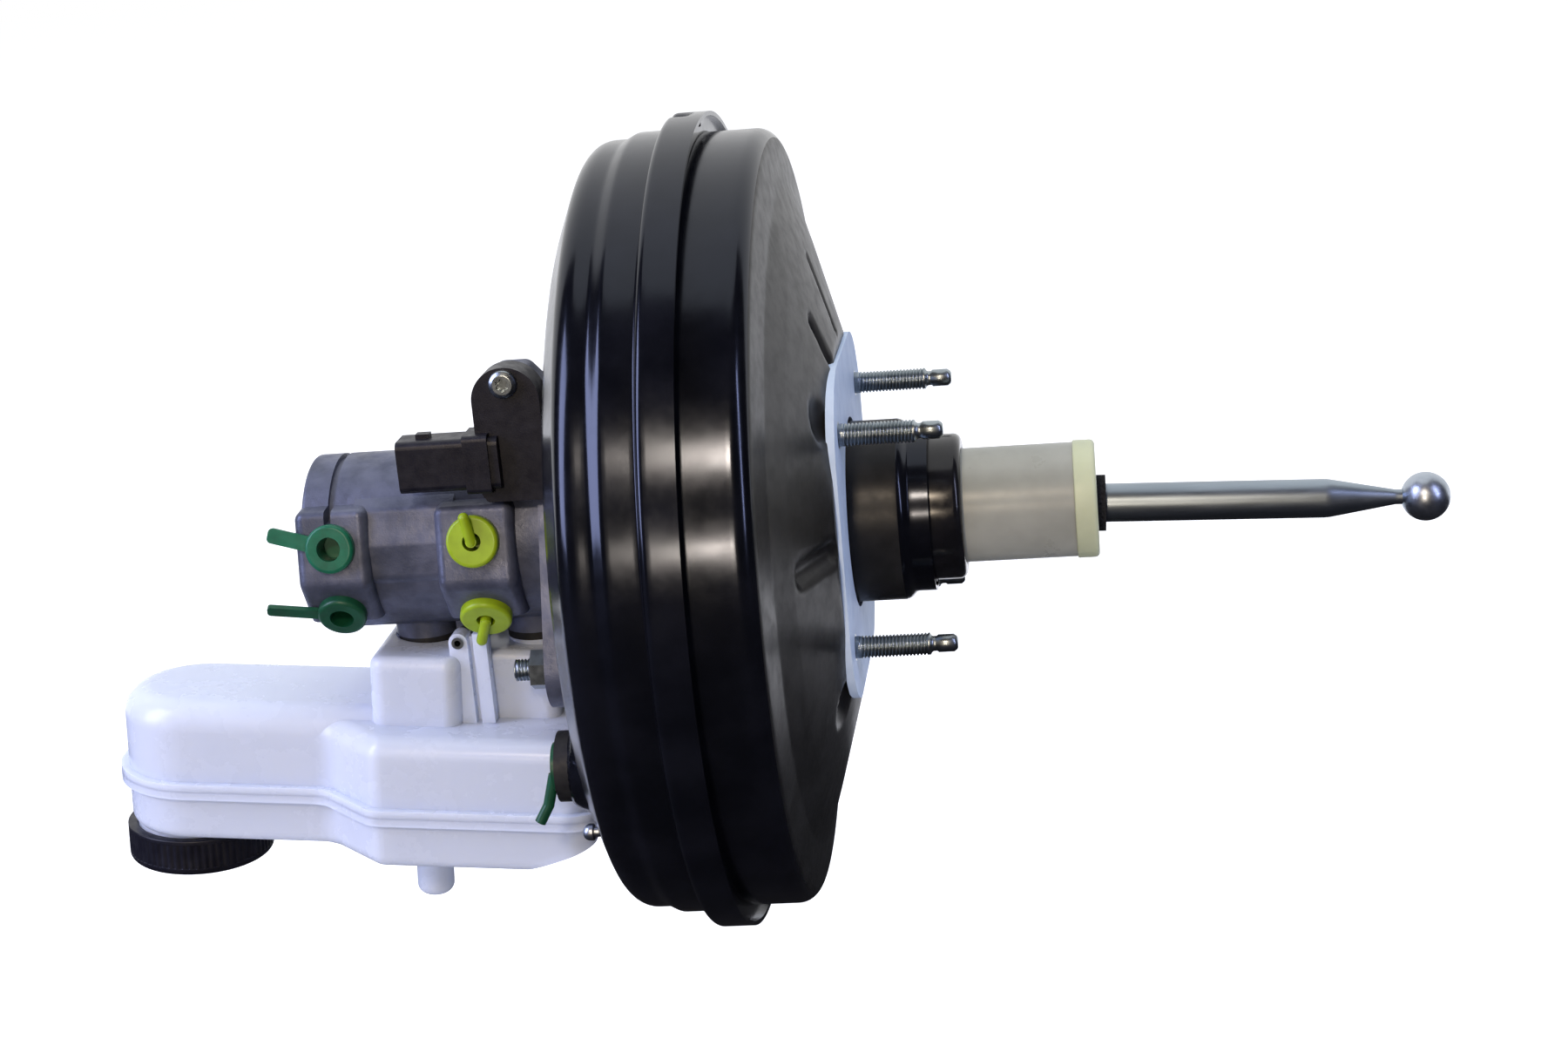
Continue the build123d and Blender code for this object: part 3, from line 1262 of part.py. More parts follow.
def reservoir_upper():
    form = upper_form(0)
    seam = prism_z(tank_outline(-SEAM_FLANGE), SEAM_HEIGHT, SEAM_HEIGHT + SEAM_FLANGE_THICKNESS / 2)
    space = upper_form(RES_WALL)
    space = space + prism_z(tank_outline(RES_WALL), SEAM_HEIGHT - 1, SEAM_HEIGHT + 1)
    solid_form = res_place() * form
    space = res_place() * space
    body = res_place() * (form + seam) - space
    for side in (-1, 1):
        body = body + (pin_ear(side) - solid_form)
    body = body - pin_bar(PIN_RADIUS, TANK_HALF_WIDTH)
    low = grommet_low_z()
    for x in (INLET_FRONT_X, INLET_REAR_X):
        seat = Pos(x, 0, low - NOZZLE_SEAT_DEPTH)
        lining = seat * Cylinder(INLET_RADIUS + 2, 12, align=MIN_ALIGN)
        recess = Pos(x, 0, low) * Cylinder(INLET_RADIUS + 0.5, 12, align=MIN_ALIGN)
        collar = seat * Cylinder(GROMMET_RADIUS - 0.1, NOZZLE_SEAT_DEPTH, align=MIN_ALIGN)
        bore = Pos(x, 0, low - 20) * Cylinder(NOZZLE_BORE, 40, align=MIN_ALIGN)
        body = body + (lining & solid_form) - recess + collar
        body = body + nozzle(x, NOZZLE_RADIUS, NOZZLE_BORE, low - 3) - bore
    return body


def lower_form(inset):
    """Outer form of the reservoir's lower half, or the space inside it."""
    tank = prism_z(tank_outline(inset), TANK_BOTTOM + inset, SEAM_HEIGHT)
    tank = fillet(tank.faces().sort_by(Axis.Z)[0].edges(), 5 - inset)
    lift = ARM_BOTTOM - TANK_BOTTOM
    reach = 2 * TANK_HALF_WIDTH
    step = span_box(ARM_CENTRE - reach, DIAGONAL_START, -reach, reach, 0, lift)
    tank = tank - Pos(0, 0, TANK_BOTTOM - 0.001 + inset) * step
    slope_length = TANK_END - TANK_SLOPE_START
    slope = degrees(atan2(TANK_SLOPE_RISE, slope_length))
    ramp = span_box(0, slope_length * 2, -reach, reach, -reach, 0)
    return tank - Pos(TANK_SLOPE_START, 0, TANK_BOTTOM + inset) * Rot(0, -slope, 0) * ramp


def reservoir_lower():
    body = lower_form(0)
    seam = prism_z(tank_outline(-SEAM_FLANGE), SEAM_HEIGHT - SEAM_FLANGE_THICKNESS / 2, SEAM_HEIGHT)
    neck = Cylinder(FILLER_RADIUS, ARM_BOTTOM - FILLER_END + 1, align=MIN_ALIGN)
    neck = Pos(FILLER_AT, 0, FILLER_END) * neck
    stub = Cylinder(STUB_RADIUS, TANK_BOTTOM - STUB_END + 1, align=MIN_ALIGN)
    stub = Pos(STUB_AT, STUB_Y, STUB_END) * stub
    stub = fillet(stub.faces().sort_by(Axis.Z)[0].edges(), 4)
    body = body + seam + neck + stub
    space = lower_form(RES_WALL)
    space = space + prism_z(tank_outline(RES_WALL), SEAM_HEIGHT - 1, SEAM_HEIGHT + 1)
    body = body - space
    body = body - Pos(FILLER_AT, 0, FILLER_END - 1) * Cylinder(FILLER_BORE, 22, align=MIN_ALIGN)
    stub_bore = Cylinder(STUB_RADIUS - RES_WALL, TANK_BOTTOM - STUB_END + 1, align=MIN_ALIGN)
    body = body - Pos(STUB_AT, STUB_Y, STUB_END + RES_WALL) * stub_bore
    return res_place() * body


def strainer():
    """The basket in the filler neck, open at the cap's side."""
    top = ARM_BOTTOM + STRAINER_RISE
    outer = Pos(0, 0, FILLER_END) * Cylinder(FILLER_BORE, top - FILLER_END, align=MIN_ALIGN)
    inner = Pos(0, 0, FILLER_END - 1) * Cylinder(FILLER_BORE - 1.4, top - FILLER_END - 0.6, align=MIN_ALIGN)
    return res_place() * Pos(FILLER_AT, 0, 0) * (outer - inner)


def cap_seal():
    low = CAP_END + CAP_TOP_THICKNESS
    seal = Pos(0, 0, low) * Cylinder(FILLER_RADIUS, FILLER_END - low, align=MIN_ALIGN)
    cup = Pos(0, 0, low + 1.6) * Cylinder(FILLER_BORE - 3, FILLER_END - low, align=MIN_ALIGN)
    return res_place() * Pos(FILLER_AT, 0, 0) * (seal - cup)


def filler_cap():
    shell = Pos(0, 0, CAP_END) * Cylinder(CAP_RADIUS, CAP_START - CAP_END, align=MIN_ALIGN)
    shell = fillet(shell.faces().sort_by(Axis.Z)[0].edges(), 3)
    bore_low = CAP_END + CAP_TOP_THICKNESS
    bore = Pos(0, 0, bore_low) * Cylinder(FILLER_RADIUS + SEAT_GAP, CAP_START - bore_low + 1, align=MIN_ALIGN)
    return res_place() * Pos(FILLER_AT, 0, 0) * (shell - bore)


def retaining_pin():
    """A hollow spring pin through both ears and the casting's lug."""
    return pin_bar(PIN_RADIUS, EAR_END_Y + 0.8) - pin_bar(PIN_HOLLOW, TANK_HALF_WIDTH)


def inlet_grommets():
    grommets = []
    for x in (INLET_FRONT_X, INLET_REAR_X):
        flange = Pos(x, 0, grommet_low_z()) * Cylinder(GROMMET_RADIUS, GROMMET_THICKNESS, align=MIN_ALIGN)
        sleeve = Pos(x, 0, INLET_END_Z) * Cylinder(INLET_BORE, NOZZLE_TOP_Z - INLET_END_Z, align=MIN_ALIGN)
        bore = Pos(x, 0, grommet_low_z() - 1) * Cylinder(NOZZLE_RADIUS, 30, align=MIN_ALIGN)
        grommets.append(flange + sleeve - bore)
    return Compound(children=grommets)


# Transport plugs and the vacuum port

def port_frame(x, distance, angle):
    """A frame on a port's face with +Z pointing out of the bore and +X along the booster."""
    y, z = polar(distance, angle)
    out_y, out_z = polar(1, angle)
    return Plane(origin=(x, y, z), x_dir=(1, 0, 0), z_dir=(0, out_y, out_z))


def plug(flange_radius, hollow_radius):
    """A plug standing on +Z: a shank in the bore, a flange and a hollow middle."""
    shank = Cylinder(PORT_BORE - RUNNING_GAP, PLUG_SHANK_LENGTH, align=MIN_ALIGN)
    shank = Pos(0, 0, -PLUG_SHANK_LENGTH) * shank
    flange = Cylinder(flange_radius, PLUG_FLANGE_THICKNESS, align=MIN_ALIGN)
    flange = fillet(flange.faces().sort_by(Axis.Z)[-1].edges(), 1.4)
    hollow = Pos(0, 0, -PLUG_SHANK_LENGTH + 1.5) * Cylinder(hollow_radius, 30, align=MIN_ALIGN)
    return shank + flange - hollow


def green_plug(place, tab_length, tab_width, tab_lift):
    body = plug(GREEN_FLANGE_RADIUS, GREEN_HOLLOW_RADIUS)
    tab = Box(tab_length, tab_width, 1.8, align=(Align.MAX, Align.CENTER, Align.MIN))
    tab = fillet(tab.edges().filter_by(Axis.Z).sort_by(Axis.X)[:2], tab_width * 0.3)
    body = body + Rot(0, 0, -tab_lift) * Pos(-GREEN_FLANGE_RADIUS + 1.5, 0, 0.6) * tab
    return port_frame(*place) * body


def yellow_plug(place, stem_angle):
    body = plug(YELLOW_FLANGE_RADIUS, YELLOW_HOLLOW_RADIUS)
    root = (0, 0, PLUG_FLANGE_THICKNESS)
    reach = YELLOW_FLANGE_RADIUS - 0.5
    along, across = cos(radians(stem_angle)), sin(radians(stem_angle))
    end = (reach * along, reach * across, PLUG_FLANGE_THICKNESS + STEM_RISE)
    stem = Pos(0, 0, -PLUG_SHANK_LENGTH + 1)
    stem = stem * Cylinder(STEM_RADIUS, PLUG_SHANK_LENGTH + PLUG_FLANGE_THICKNESS, align=MIN_ALIGN)
    handle = rod_between(root, end, STEM_RADIUS) + Pos(*end) * Sphere(STEM_RADIUS)
    elbow = Pos(*root) * Sphere(STEM_RADIUS)
    return port_frame(*place) * (body + stem + handle + elbow)


def vacuum_grommet():
    place = (VACUUM_Y, VACUUM_Z)
    face_x = VACUUM_BOSS_X - VACUUM_GROMMET_THICKNESS
    body = ring_x(face_x, VACUUM_BOSS_X, VACUUM_GROMMET_RADIUS, VACUUM_BORE, *place)
    sleeve = ring_x(VACUUM_BOSS_X, VACUUM_BOSS_X + 6, VACUUM_HOLE_RADIUS, VACUUM_BORE, *place)
    return body + sleeve


def vacuum_plug():
    face_x = VACUUM_BOSS_X - VACUUM_GROMMET_THICKNESS
    shank = rod_x(face_x, face_x + 9, VACUUM_BORE - RUNNING_GAP, VACUUM_Y, VACUUM_Z)
    flange = rod_x(face_x - 2, face_x, 8.5, VACUUM_Y, VACUUM_Z)
    root = (face_x - 2.6, VACUUM_Y, VACUUM_Z - 3)
    elbow = (face_x - 5.5, VACUUM_Y - 1, VACUUM_Z - 14)
    tip = (face_x - 9.0, VACUUM_Y - 2, VACUUM_Z - 20)
    tab = rod_between(root, elbow, 2.0) + Pos(*elbow) * Sphere(2.0) + rod_between(elbow, tip, 2.0)
    return shank + flange + tab


def shell_rivet():
    seat_x = FRONT_KNEE_X + RIVET_SINK
    points = [
        (seat_x - RIVET_RADIUS * 1.4, 0),
        (seat_x - RIVET_RADIUS * 1.4, RIVET_RADIUS),
        (seat_x, RIVET_RADIUS),
        (seat_x, RIVET_SHANK),
        (seat_x + 4, RIVET_SHANK),
        (seat_x + 4, 0),
    ]
    return Pos(0, *rivet_place()) * turned(points, [0, RIVET_RADIUS * 0.9, 0.6, 0, 0, 0])


PARTS = {
    "front_shell": front_shell(),
    "rear_shell": rear_shell(),
    "rear_plate": rear_plate(),
    "front_plate": front_plate(),
    "mounting_gasket": mounting_gasket(),
    "firewall_studs": firewall_studs(),
    "flange_studs": flange_studs(),
    "flange_nuts": flange_nuts(),
    "neck_bushing": neck_bushing(),
    "neck_collar": neck_collar(),
    "diaphragm": diaphragm(),
    "diaphragm_plate": diaphragm_plate(),
    "valve_body": valve_body(),
    "stop_key": stop_key(),
    "vent_cap": vent_cap(),
    "air_filter": air_filter(),
    "reaction_disc": reaction_disc(),
    "output_rod": output_rod(),
    "return_spring": return_spring(),
    "plunger": plunger(),
    "input_rod": input_rod(),
    "spring_cup": spring_cup(),
    "rod_silencer": rod_silencer(),
    "poppet": poppet(),
    "valve_retainer": valve_retainer(),
    "poppet_spring": poppet_spring(),
    "rod_spring": rod_spring(),
    "master_cylinder": master_cylinder(),
    "flange_seal": flange_seal_ring(),
    "primary_piston": primary_piston(),
    "secondary_piston": secondary_piston(),
    "primary_spring": primary_spring(),
    "secondary_spring": secondary_spring(),
    "piston_seals": piston_seals(),
    "piston_guide": piston_guide(),
    "sensor_magnet": sensor_magnet(),
    "position_sensor": position_sensor(),
    "sensor_pins": sensor_pins(),
    "sensor_screw": sensor_screw(),
    "reservoir_upper": reservoir_upper(),
    "reservoir_lower": reservoir_lower(),
    "strainer": strainer(),
    "cap_seal": cap_seal(),
    "filler_cap": filler_cap(),
    "retaining_pin": retaining_pin(),
    "inlet_grommets": inlet_grommets(),
    "green_plug_upper": green_plug(port_places()[0], 16, 5.6, 16),
    "green_plug_lower": green_plug(port_places()[1], 20, 4.4, 10),
    "yellow_plug_upper": yellow_plug(port_places()[2], 100),
    "yellow_plug_lower": yellow_plug(port_places()[3], 250),
    "vacuum_grommet": vacuum_grommet(),
    "vacuum_plug": vacuum_plug(),
    "shell_rivet": shell_rivet(),
}

os.makedirs("parts", exist_ok=True)
for name, shape in PARTS.items():
    export_step(shape, f"parts/{name}.step")
    print(name, round(shape.volume, 1), len(shape.solids()))
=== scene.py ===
from math import atan2, ceil, cos, degrees, hypot, pi, radians, sin, sqrt, tan, tau

import bmesh
import bpy
from mathutils import Matrix, Vector


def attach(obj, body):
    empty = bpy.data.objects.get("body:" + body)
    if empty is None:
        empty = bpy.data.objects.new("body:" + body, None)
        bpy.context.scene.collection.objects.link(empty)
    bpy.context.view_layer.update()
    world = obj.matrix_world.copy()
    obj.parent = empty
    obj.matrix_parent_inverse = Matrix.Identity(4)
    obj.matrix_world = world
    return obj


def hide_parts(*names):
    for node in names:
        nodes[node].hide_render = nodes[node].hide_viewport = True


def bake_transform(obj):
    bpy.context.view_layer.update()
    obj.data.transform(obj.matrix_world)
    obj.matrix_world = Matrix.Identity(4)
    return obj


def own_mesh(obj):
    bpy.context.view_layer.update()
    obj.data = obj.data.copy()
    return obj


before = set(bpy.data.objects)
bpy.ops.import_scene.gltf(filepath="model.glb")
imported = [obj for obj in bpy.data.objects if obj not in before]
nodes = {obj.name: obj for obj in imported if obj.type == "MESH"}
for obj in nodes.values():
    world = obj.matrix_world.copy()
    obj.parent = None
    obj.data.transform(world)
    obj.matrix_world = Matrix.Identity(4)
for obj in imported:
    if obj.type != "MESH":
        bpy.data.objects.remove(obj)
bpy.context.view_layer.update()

MM = 0.001


# Node-based materials

def shader(name):
    """A new material with its node tree, its shader and a coordinate source in metres."""
    made = bpy.data.materials.new(name)
    made.use_nodes = True
    tree = made.node_tree
    bsdf = tree.nodes["Principled BSDF"]
    coords = tree.nodes.new("ShaderNodeTexCoord")
    return made, tree, bsdf, coords.outputs["Object"]


def add_noise(tree, coords, scale, detail=4.0, roughness=0.55, stretch=None):
    """Noise over the piece; stretch scales the coordinates along X, Y and Z first."""
    source = coords
    if stretch:
        mapping = tree.nodes.new("ShaderNodeMapping")
        mapping.inputs["Scale"].default_value = stretch
        tree.links.new(coords, mapping.inputs["Vector"])
        source = mapping.outputs["Vector"]
    texture = tree.nodes.new("ShaderNodeTexNoise")
    texture.inputs["Scale"].default_value = scale
    texture.inputs["Detail"].default_value = detail
    texture.inputs["Roughness"].default_value = roughness
    tree.links.new(source, texture.inputs["Vector"])
    return texture.outputs["Fac"]


def add_range(tree, value, low, high, to_low, to_high):
    """Map a value from one range to another, smoothly."""
    node = tree.nodes.new("ShaderNodeMapRange")
    node.interpolation_type = "SMOOTHSTEP"
    node.inputs["From Min"].default_value = low
    node.inputs["From Max"].default_value = high
    node.inputs["To Min"].default_value = to_low
    node.inputs["To Max"].default_value = to_high
    tree.links.new(value, node.inputs["Value"])
    return node.outputs["Result"]


def add_mix(tree, factor, color_a, color_b):
    """Mix two colours; each is a tuple or a socket."""
    node = tree.nodes.new("ShaderNodeMix")
    node.data_type = "RGBA"
    tree.links.new(factor, node.inputs["Factor"])
    for color, socket in ((color_a, node.inputs[6]), (color_b, node.inputs[7])):
        if isinstance(color, tuple):
            socket.default_value = (*color, 1.0)
        else:
            tree.links.new(color, socket)
    return node.outputs[2]


def add_bump(tree, bsdf, layers, coords):
    """Stack bump layers, each (scale, distance, strength, stretch)."""
    normal = None
    for scale, distance, strength, stretch in layers:
        bump = tree.nodes.new("ShaderNodeBump")
        bump.inputs["Distance"].default_value = distance
        bump.inputs["Strength"].default_value = strength
        tree.links.new(add_noise(tree, coords, scale, stretch=stretch), bump.inputs["Height"])
        if normal:
            tree.links.new(normal, bump.inputs["Normal"])
        normal = bump.outputs["Normal"]
    if normal:
        tree.links.new(normal, bsdf.inputs["Normal"])


def finish(name, color, second, rough, metal=0.0, spread=60.0, rough_spread=0.06, bumps=(), specular=0.5,
           coat=0.0, coat_rough=0.1, subsurface=0.0, sub_radius=(0.01, 0.01, 0.01), stretch=None,
           contrast=(0.35, 0.7), tint=(1.0, 1.0, 1.0)):
    """A finished surface: two mixed colours, varied roughness and layered bump."""
    made, tree, bsdf, coords = shader(name)
    cloud = add_noise(tree, coords, spread, stretch=stretch)
    mixed = add_mix(tree, add_range(tree, cloud, *contrast, 0, 1), color, second)
    tree.links.new(mixed, bsdf.inputs["Base Color"])
    wear = add_noise(tree, coords, spread * 2.3, 6.0, 0.6, stretch)
    tree.links.new(add_range(tree, wear, 0.3, 0.75, rough - rough_spread, rough + rough_spread),
                   bsdf.inputs["Roughness"])
    bsdf.inputs["Metallic"].default_value = metal
    bsdf.inputs["Specular IOR Level"].default_value = specular
    bsdf.inputs["Specular Tint"].default_value = (*tint, 1.0)
    bsdf.inputs["Coat Weight"].default_value = coat
    bsdf.inputs["Coat Roughness"].default_value = coat_rough
    bsdf.inputs["Subsurface Weight"].default_value = subsurface
    bsdf.inputs["Subsurface Radius"].default_value = sub_radius
    bsdf.inputs["Subsurface Scale"].default_value = 1.0
    add_bump(tree, bsdf, bumps, coords)
    return made


MATERIALS = {
    "paint": finish("black_gloss_paint", (0.002, 0.0022, 0.0035), (0.004, 0.0043, 0.0065), 0.18, spread=45,
                    rough_spread=0.03, specular=0.44, tint=(0.74, 0.82, 1.0)),
    "paint_satin": finish("black_satin_paint", (0.009, 0.0088, 0.0088), (0.016, 0.0156, 0.0154), 0.36,
                          spread=70, rough_spread=0.05, specular=0.2, bumps=[(1800, 0.00006, 0.3, None)]),
    "zinc": finish("zinc_plate", (0.38, 0.43, 0.46), (0.29, 0.33, 0.355), 0.33, 1.0, spread=150,
                   rough_spread=0.06),
    "rod": finish("drawn_zinc_rod", (0.36, 0.42, 0.48), (0.29, 0.34, 0.39), 0.37, 1.0, spread=120,
                  rough_spread=0.05, stretch=(0.12, 1, 1)),
    "ball": finish("polished_ball", (0.5, 0.55, 0.62), (0.43, 0.48, 0.55), 0.36, 1.0, spread=200,
                   rough_spread=0.04),
    "spring": finish("spring_steel", (0.3, 0.31, 0.33), (0.2, 0.21, 0.22), 0.38, 1.0, spread=200),
    "cast": finish("cast_aluminium", (0.118, 0.13, 0.182), (0.066, 0.075, 0.11), 0.46, 0.5, spread=70,
                   rough_spread=0.12, bumps=[(420, 0.0004, 0.35, None), (1500, 0.00015, 0.45, None)]),
    "turned": finish("turned_aluminium", (0.74, 0.74, 0.76), (0.6, 0.6, 0.63), 0.3, 1.0, spread=90,
                     stretch=(6, 1, 1)),
    "gasket": finish("pale_gasket", (0.58, 0.7, 0.86), (0.51, 0.63, 0.8), 0.62, spread=90, rough_spread=0.1,
                     bumps=[(700, 0.0001, 0.4, None)]),
    "hub": finish("hub_moulding", (0.33, 0.335, 0.29), (0.265, 0.27, 0.23), 0.33, spread=35, specular=0.4,
                  subsurface=0.15, sub_radius=(0.004, 0.004, 0.003)),
    "cream": finish("cream_moulding", (0.5, 0.53, 0.35), (0.45, 0.48, 0.31), 0.4, spread=60, specular=0.4,
                    subsurface=0.2, sub_radius=(0.004, 0.004, 0.002), bumps=[(400, 0.0001, 0.2, None)]),
    "plastic": finish("black_moulding", (0.004, 0.004, 0.009), (0.008, 0.008, 0.014), 0.42, spread=110,
                      rough_spread=0.08, specular=0.4, bumps=[(1500, 0.0001, 0.35, None)]),
    "collar": finish("black_gloss_moulding", (0.004, 0.004, 0.005), (0.008, 0.008, 0.01), 0.2, spread=80,
                     rough_spread=0.06, specular=0.45),
    "rubber": finish("black_rubber", (0.008, 0.008, 0.009), (0.014, 0.014, 0.014), 0.58, spread=160,
                     rough_spread=0.1, specular=0.35, bumps=[(900, 0.00012, 0.4, None)]),
    "foam": finish("open_foam", (0.02, 0.02, 0.022), (0.006, 0.006, 0.007), 0.9, spread=900,
                   rough_spread=0.05, specular=0.2, bumps=[(1300, 0.0009, 0.9, None)]),
    "green": finish("green_moulding", (0.006, 0.12, 0.06), (0.004, 0.085, 0.042), 0.36, spread=140,
                    specular=0.4, subsurface=0.15, sub_radius=(0.001, 0.003, 0.002)),
    "green_dark": finish("dark_green_moulding", (0.006, 0.068, 0.03), (0.004, 0.05, 0.022), 0.38,
                         spread=140, specular=0.4),
    # A lighter copy of the green moulding, a painted highlight for the upper plug's tab; no part uses it.
    "green_painted_highlight": finish("painted_highlight_green_moulding", (0.045, 0.33, 0.2), (0.03, 0.25, 0.15), 0.35, spread=140,
                         specular=0.4, subsurface=0.2, sub_radius=(0.001, 0.003, 0.002)),
    "yellow": finish("yellow_moulding", (0.28, 0.4, 0.009), (0.23, 0.33, 0.007), 0.35, spread=140,
                     specular=0.4, subsurface=0.25, sub_radius=(0.003, 0.003, 0.001)),
    "magnet": finish("sintered_magnet", (0.06, 0.06, 0.065), (0.04, 0.04, 0.045), 0.5, spread=200),
    "tin": finish("tinned_contact", (0.8, 0.79, 0.74), (0.7, 0.69, 0.65), 0.28, 1.0, spread=200),
    "reservoir": finish("natural_reservoir", (0.6, 0.68, 0.87), (0.62, 0.695, 0.87), 0.27, spread=26,
                        rough_spread=0.08, specular=0.4, subsurface=0.5, sub_radius=(0.02, 0.021, 0.026),
                        bumps=[(90, 0.0003, 0.08, None)]),
    "strainer": finish("strainer_moulding", (0.66, 0.68, 0.7), (0.58, 0.6, 0.62), 0.45, spread=90),
}

NODE_MATERIAL = {
    "front_shell": "paint", "rear_shell": "paint_satin", "rear_plate": "zinc", "front_plate": "zinc",
    "mounting_gasket": "gasket", "firewall_studs": "zinc", "flange_studs": "zinc", "flange_nuts": "zinc",
    "neck_bushing": "plastic", "neck_collar": "collar", "diaphragm": "rubber", "diaphragm_plate": "zinc",
    "valve_body": "hub", "stop_key": "zinc", "vent_cap": "cream", "air_filter": "foam",
    "reaction_disc": "rubber", "output_rod": "zinc", "return_spring": "spring", "plunger": "turned",
    "input_rod": "rod", "spring_cup": "zinc", "rod_silencer": "foam", "poppet": "rubber",
    "valve_retainer": "zinc", "poppet_spring": "spring", "rod_spring": "spring", "master_cylinder": "cast",
    "flange_seal": "rubber", "primary_piston": "turned", "secondary_piston": "turned",
    "primary_spring": "spring", "secondary_spring": "spring", "piston_seals": "rubber",
    "piston_guide": "plastic", "sensor_magnet": "magnet", "position_sensor": "plastic",
    "sensor_pins": "tin", "sensor_screw": "zinc", "reservoir_upper": "reservoir",
    "reservoir_lower": "reservoir", "strainer": "strainer", "cap_seal": "rubber", "filler_cap": "plastic",
    "retaining_pin": "zinc", "inlet_grommets": "rubber", "green_plug_upper": "green",
    "green_plug_lower": "green_dark", "yellow_plug_upper": "yellow", "yellow_plug_lower": "yellow",
    "vacuum_grommet": "rubber", "vacuum_plug": "green_dark", "shell_rivet": "ball",
}

for node_name, look in NODE_MATERIAL.items():
    cad = nodes[node_name]
    cad.data.materials.clear()
    cad.data.materials.append(MATERIALS[look])


# Mesh helpers, in millimetres

def make_object(name, points, faces, look, sharp=38):
    """A mesh object from points in millimetres, smooth but for edges sharper than an angle."""
    mesh = bpy.data.meshes.new(name)
    mesh.from_pydata([(x * MM, y * MM, z * MM) for x, y, z in points], [], faces)
    mesh.validate()
    mesh.materials.append(MATERIALS[look])
    mesh.shade_smooth()
    mesh.set_sharp_from_angle(angle=radians(sharp))
    made = bpy.data.objects.new(name, mesh)
    bpy.context.scene.collection.objects.link(made)
    return made


def outward(mesh_object):
    """Turn all faces outward."""
    work = bmesh.new()
    work.from_mesh(mesh_object.data)
    bmesh.ops.recalc_face_normals(work, faces=work.faces)
    work.to_mesh(mesh_object.data)
    work.free()
    return mesh_object


def rounded(points, radii, steps=7):
    """A path of 2D points with its corners rounded."""
    path = [points[0]]
    for before, corner, after, radius in zip(points[:-2], points[1:-1], points[2:], radii):
        a = Vector(before) - Vector(corner)
        b = Vector(after) - Vector(corner)
        if radius <= 0 or a.length == 0 or b.length == 0:
            path.append(tuple(corner))
            continue
        a.normalize()
        b.normalize()
        half = a.angle(b) / 2
        if half > pi / 2 - 0.005:
            path.append(tuple(corner))
            continue
        reach = radius / tan(half)
        middle = (a + b).normalized() * (radius / sin(half)) + Vector(corner)
        start = Vector(corner) + a * reach - middle
        sweep = pi - 2 * half
        turn = 1 if a.x * b.y - a.y * b.x < 0 else -1
        count = max(2, ceil(steps * sweep / (pi / 2)))
        for index in range(count + 1):
            angle = turn * sweep * index / count
            across = start.x * cos(angle) - start.y * sin(angle)
            along = start.x * sin(angle) + start.y * cos(angle)
            path.append(tuple(middle + Vector((across, along))))
    path.append(points[-1])
    return path


def joined_rows(rows, segments, wrap=False, base=0):
    """Faces between rings of points that lie one after the other."""
    faces = []
    for row in range(rows if wrap else rows - 1):
        low, high = base + row * segments, base + (row + 1) % rows * segments
        for index in range(segments):
            nxt = (index + 1) % segments
            faces.append((low + index, low + nxt, high + nxt, high + index))
    return faces


def lathe(name, profile, look, body, replaces, segments=96, closed=True, place=None, ribs=None):
    """Turn a profile of (x, radius) points about X; ribs are (from x, to x, radius, count, depth)."""
    points = []
    for x, radius in profile:
        for index in range(segments):
            angle = tau * index / segments
            here = radius
            if ribs and ribs[0] <= x <= ribs[1] and radius >= ribs[2]:
                phase = index / segments * ribs[3] % 1.0
                here = radius - ribs[4] * smooth(1.6 * abs(2 * phase - 1) - 0.3)
            points.append((x, here * cos(angle), here * sin(angle)))
    if place:
        points = [tuple(place @ Vector(point)) for point in points]
    made = outward(make_object(name, points, joined_rows(len(profile), segments, closed), look))
    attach(made, body)
    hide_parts(replaces)
    return made


# Pressed shells

SHEET = 1.6
SHELL_SHARP = 55
RIM_RADIUS = 148.5
RIM_FRONT, RIM_BACK = -55.8, -42.5
REAR_FLANGE = -45.9
FRONT_PROFILE = rounded(
    [(-95, 23.9), (-95, 58), (-92, 118), (-82.5, 140.5), (-72.2, 140.5), (-68, 142.7), (RIM_FRONT, 142.7),
     (RIM_FRONT, RIM_RADIUS), (RIM_BACK, RIM_RADIUS)],
    [40, 30, 8, 4, 4, 1.2, 2.6], 9)
REAR_PROFILE = rounded(
    [(REAR_FLANGE, 146.9), (REAR_FLANGE, 139.5), (-22, 139.5), (-19, 120), (-14, 104), (-3, 66), (-3, 31.5),
     (18, 31.5), (20.7, 28.8), (28.5, 28.8)],
    [0, 5, 12, 30, 6, 3, 2.5, 2.5], 9)
PAD_LUGS = ((-38.0, -42.0), (38.0, 42.0))
PAD_RADIUS, LUG_RADIUS, PAD_X = 39.0, 16.0, -102.0
VACUUM_Y, VACUUM_Z, VACUUM_RADIUS, VACUUM_X = -74.0, -66.0, 17.0, -99.0


def refine(profile, step):
    """Add points so that no step of the profile is longer than a limit."""
    fine = [profile[0]]
    for (x0, r0), (x1, r1) in zip(profile[:-1], profile[1:]):
        count = max(1, ceil(hypot(x1 - x0, r1 - r0) / step))
        for index in range(1, count + 1):
            share = index / count
            fine.append((x0 + (x1 - x0) * share, r0 + (r1 - r0) * share))
    return fine


def smooth(value):
    """Ease from 0 to 1 as the value goes from 0 to 1."""
    value = min(max(value, 0.0), 1.0)
    return value * value * (3 - 2 * value)


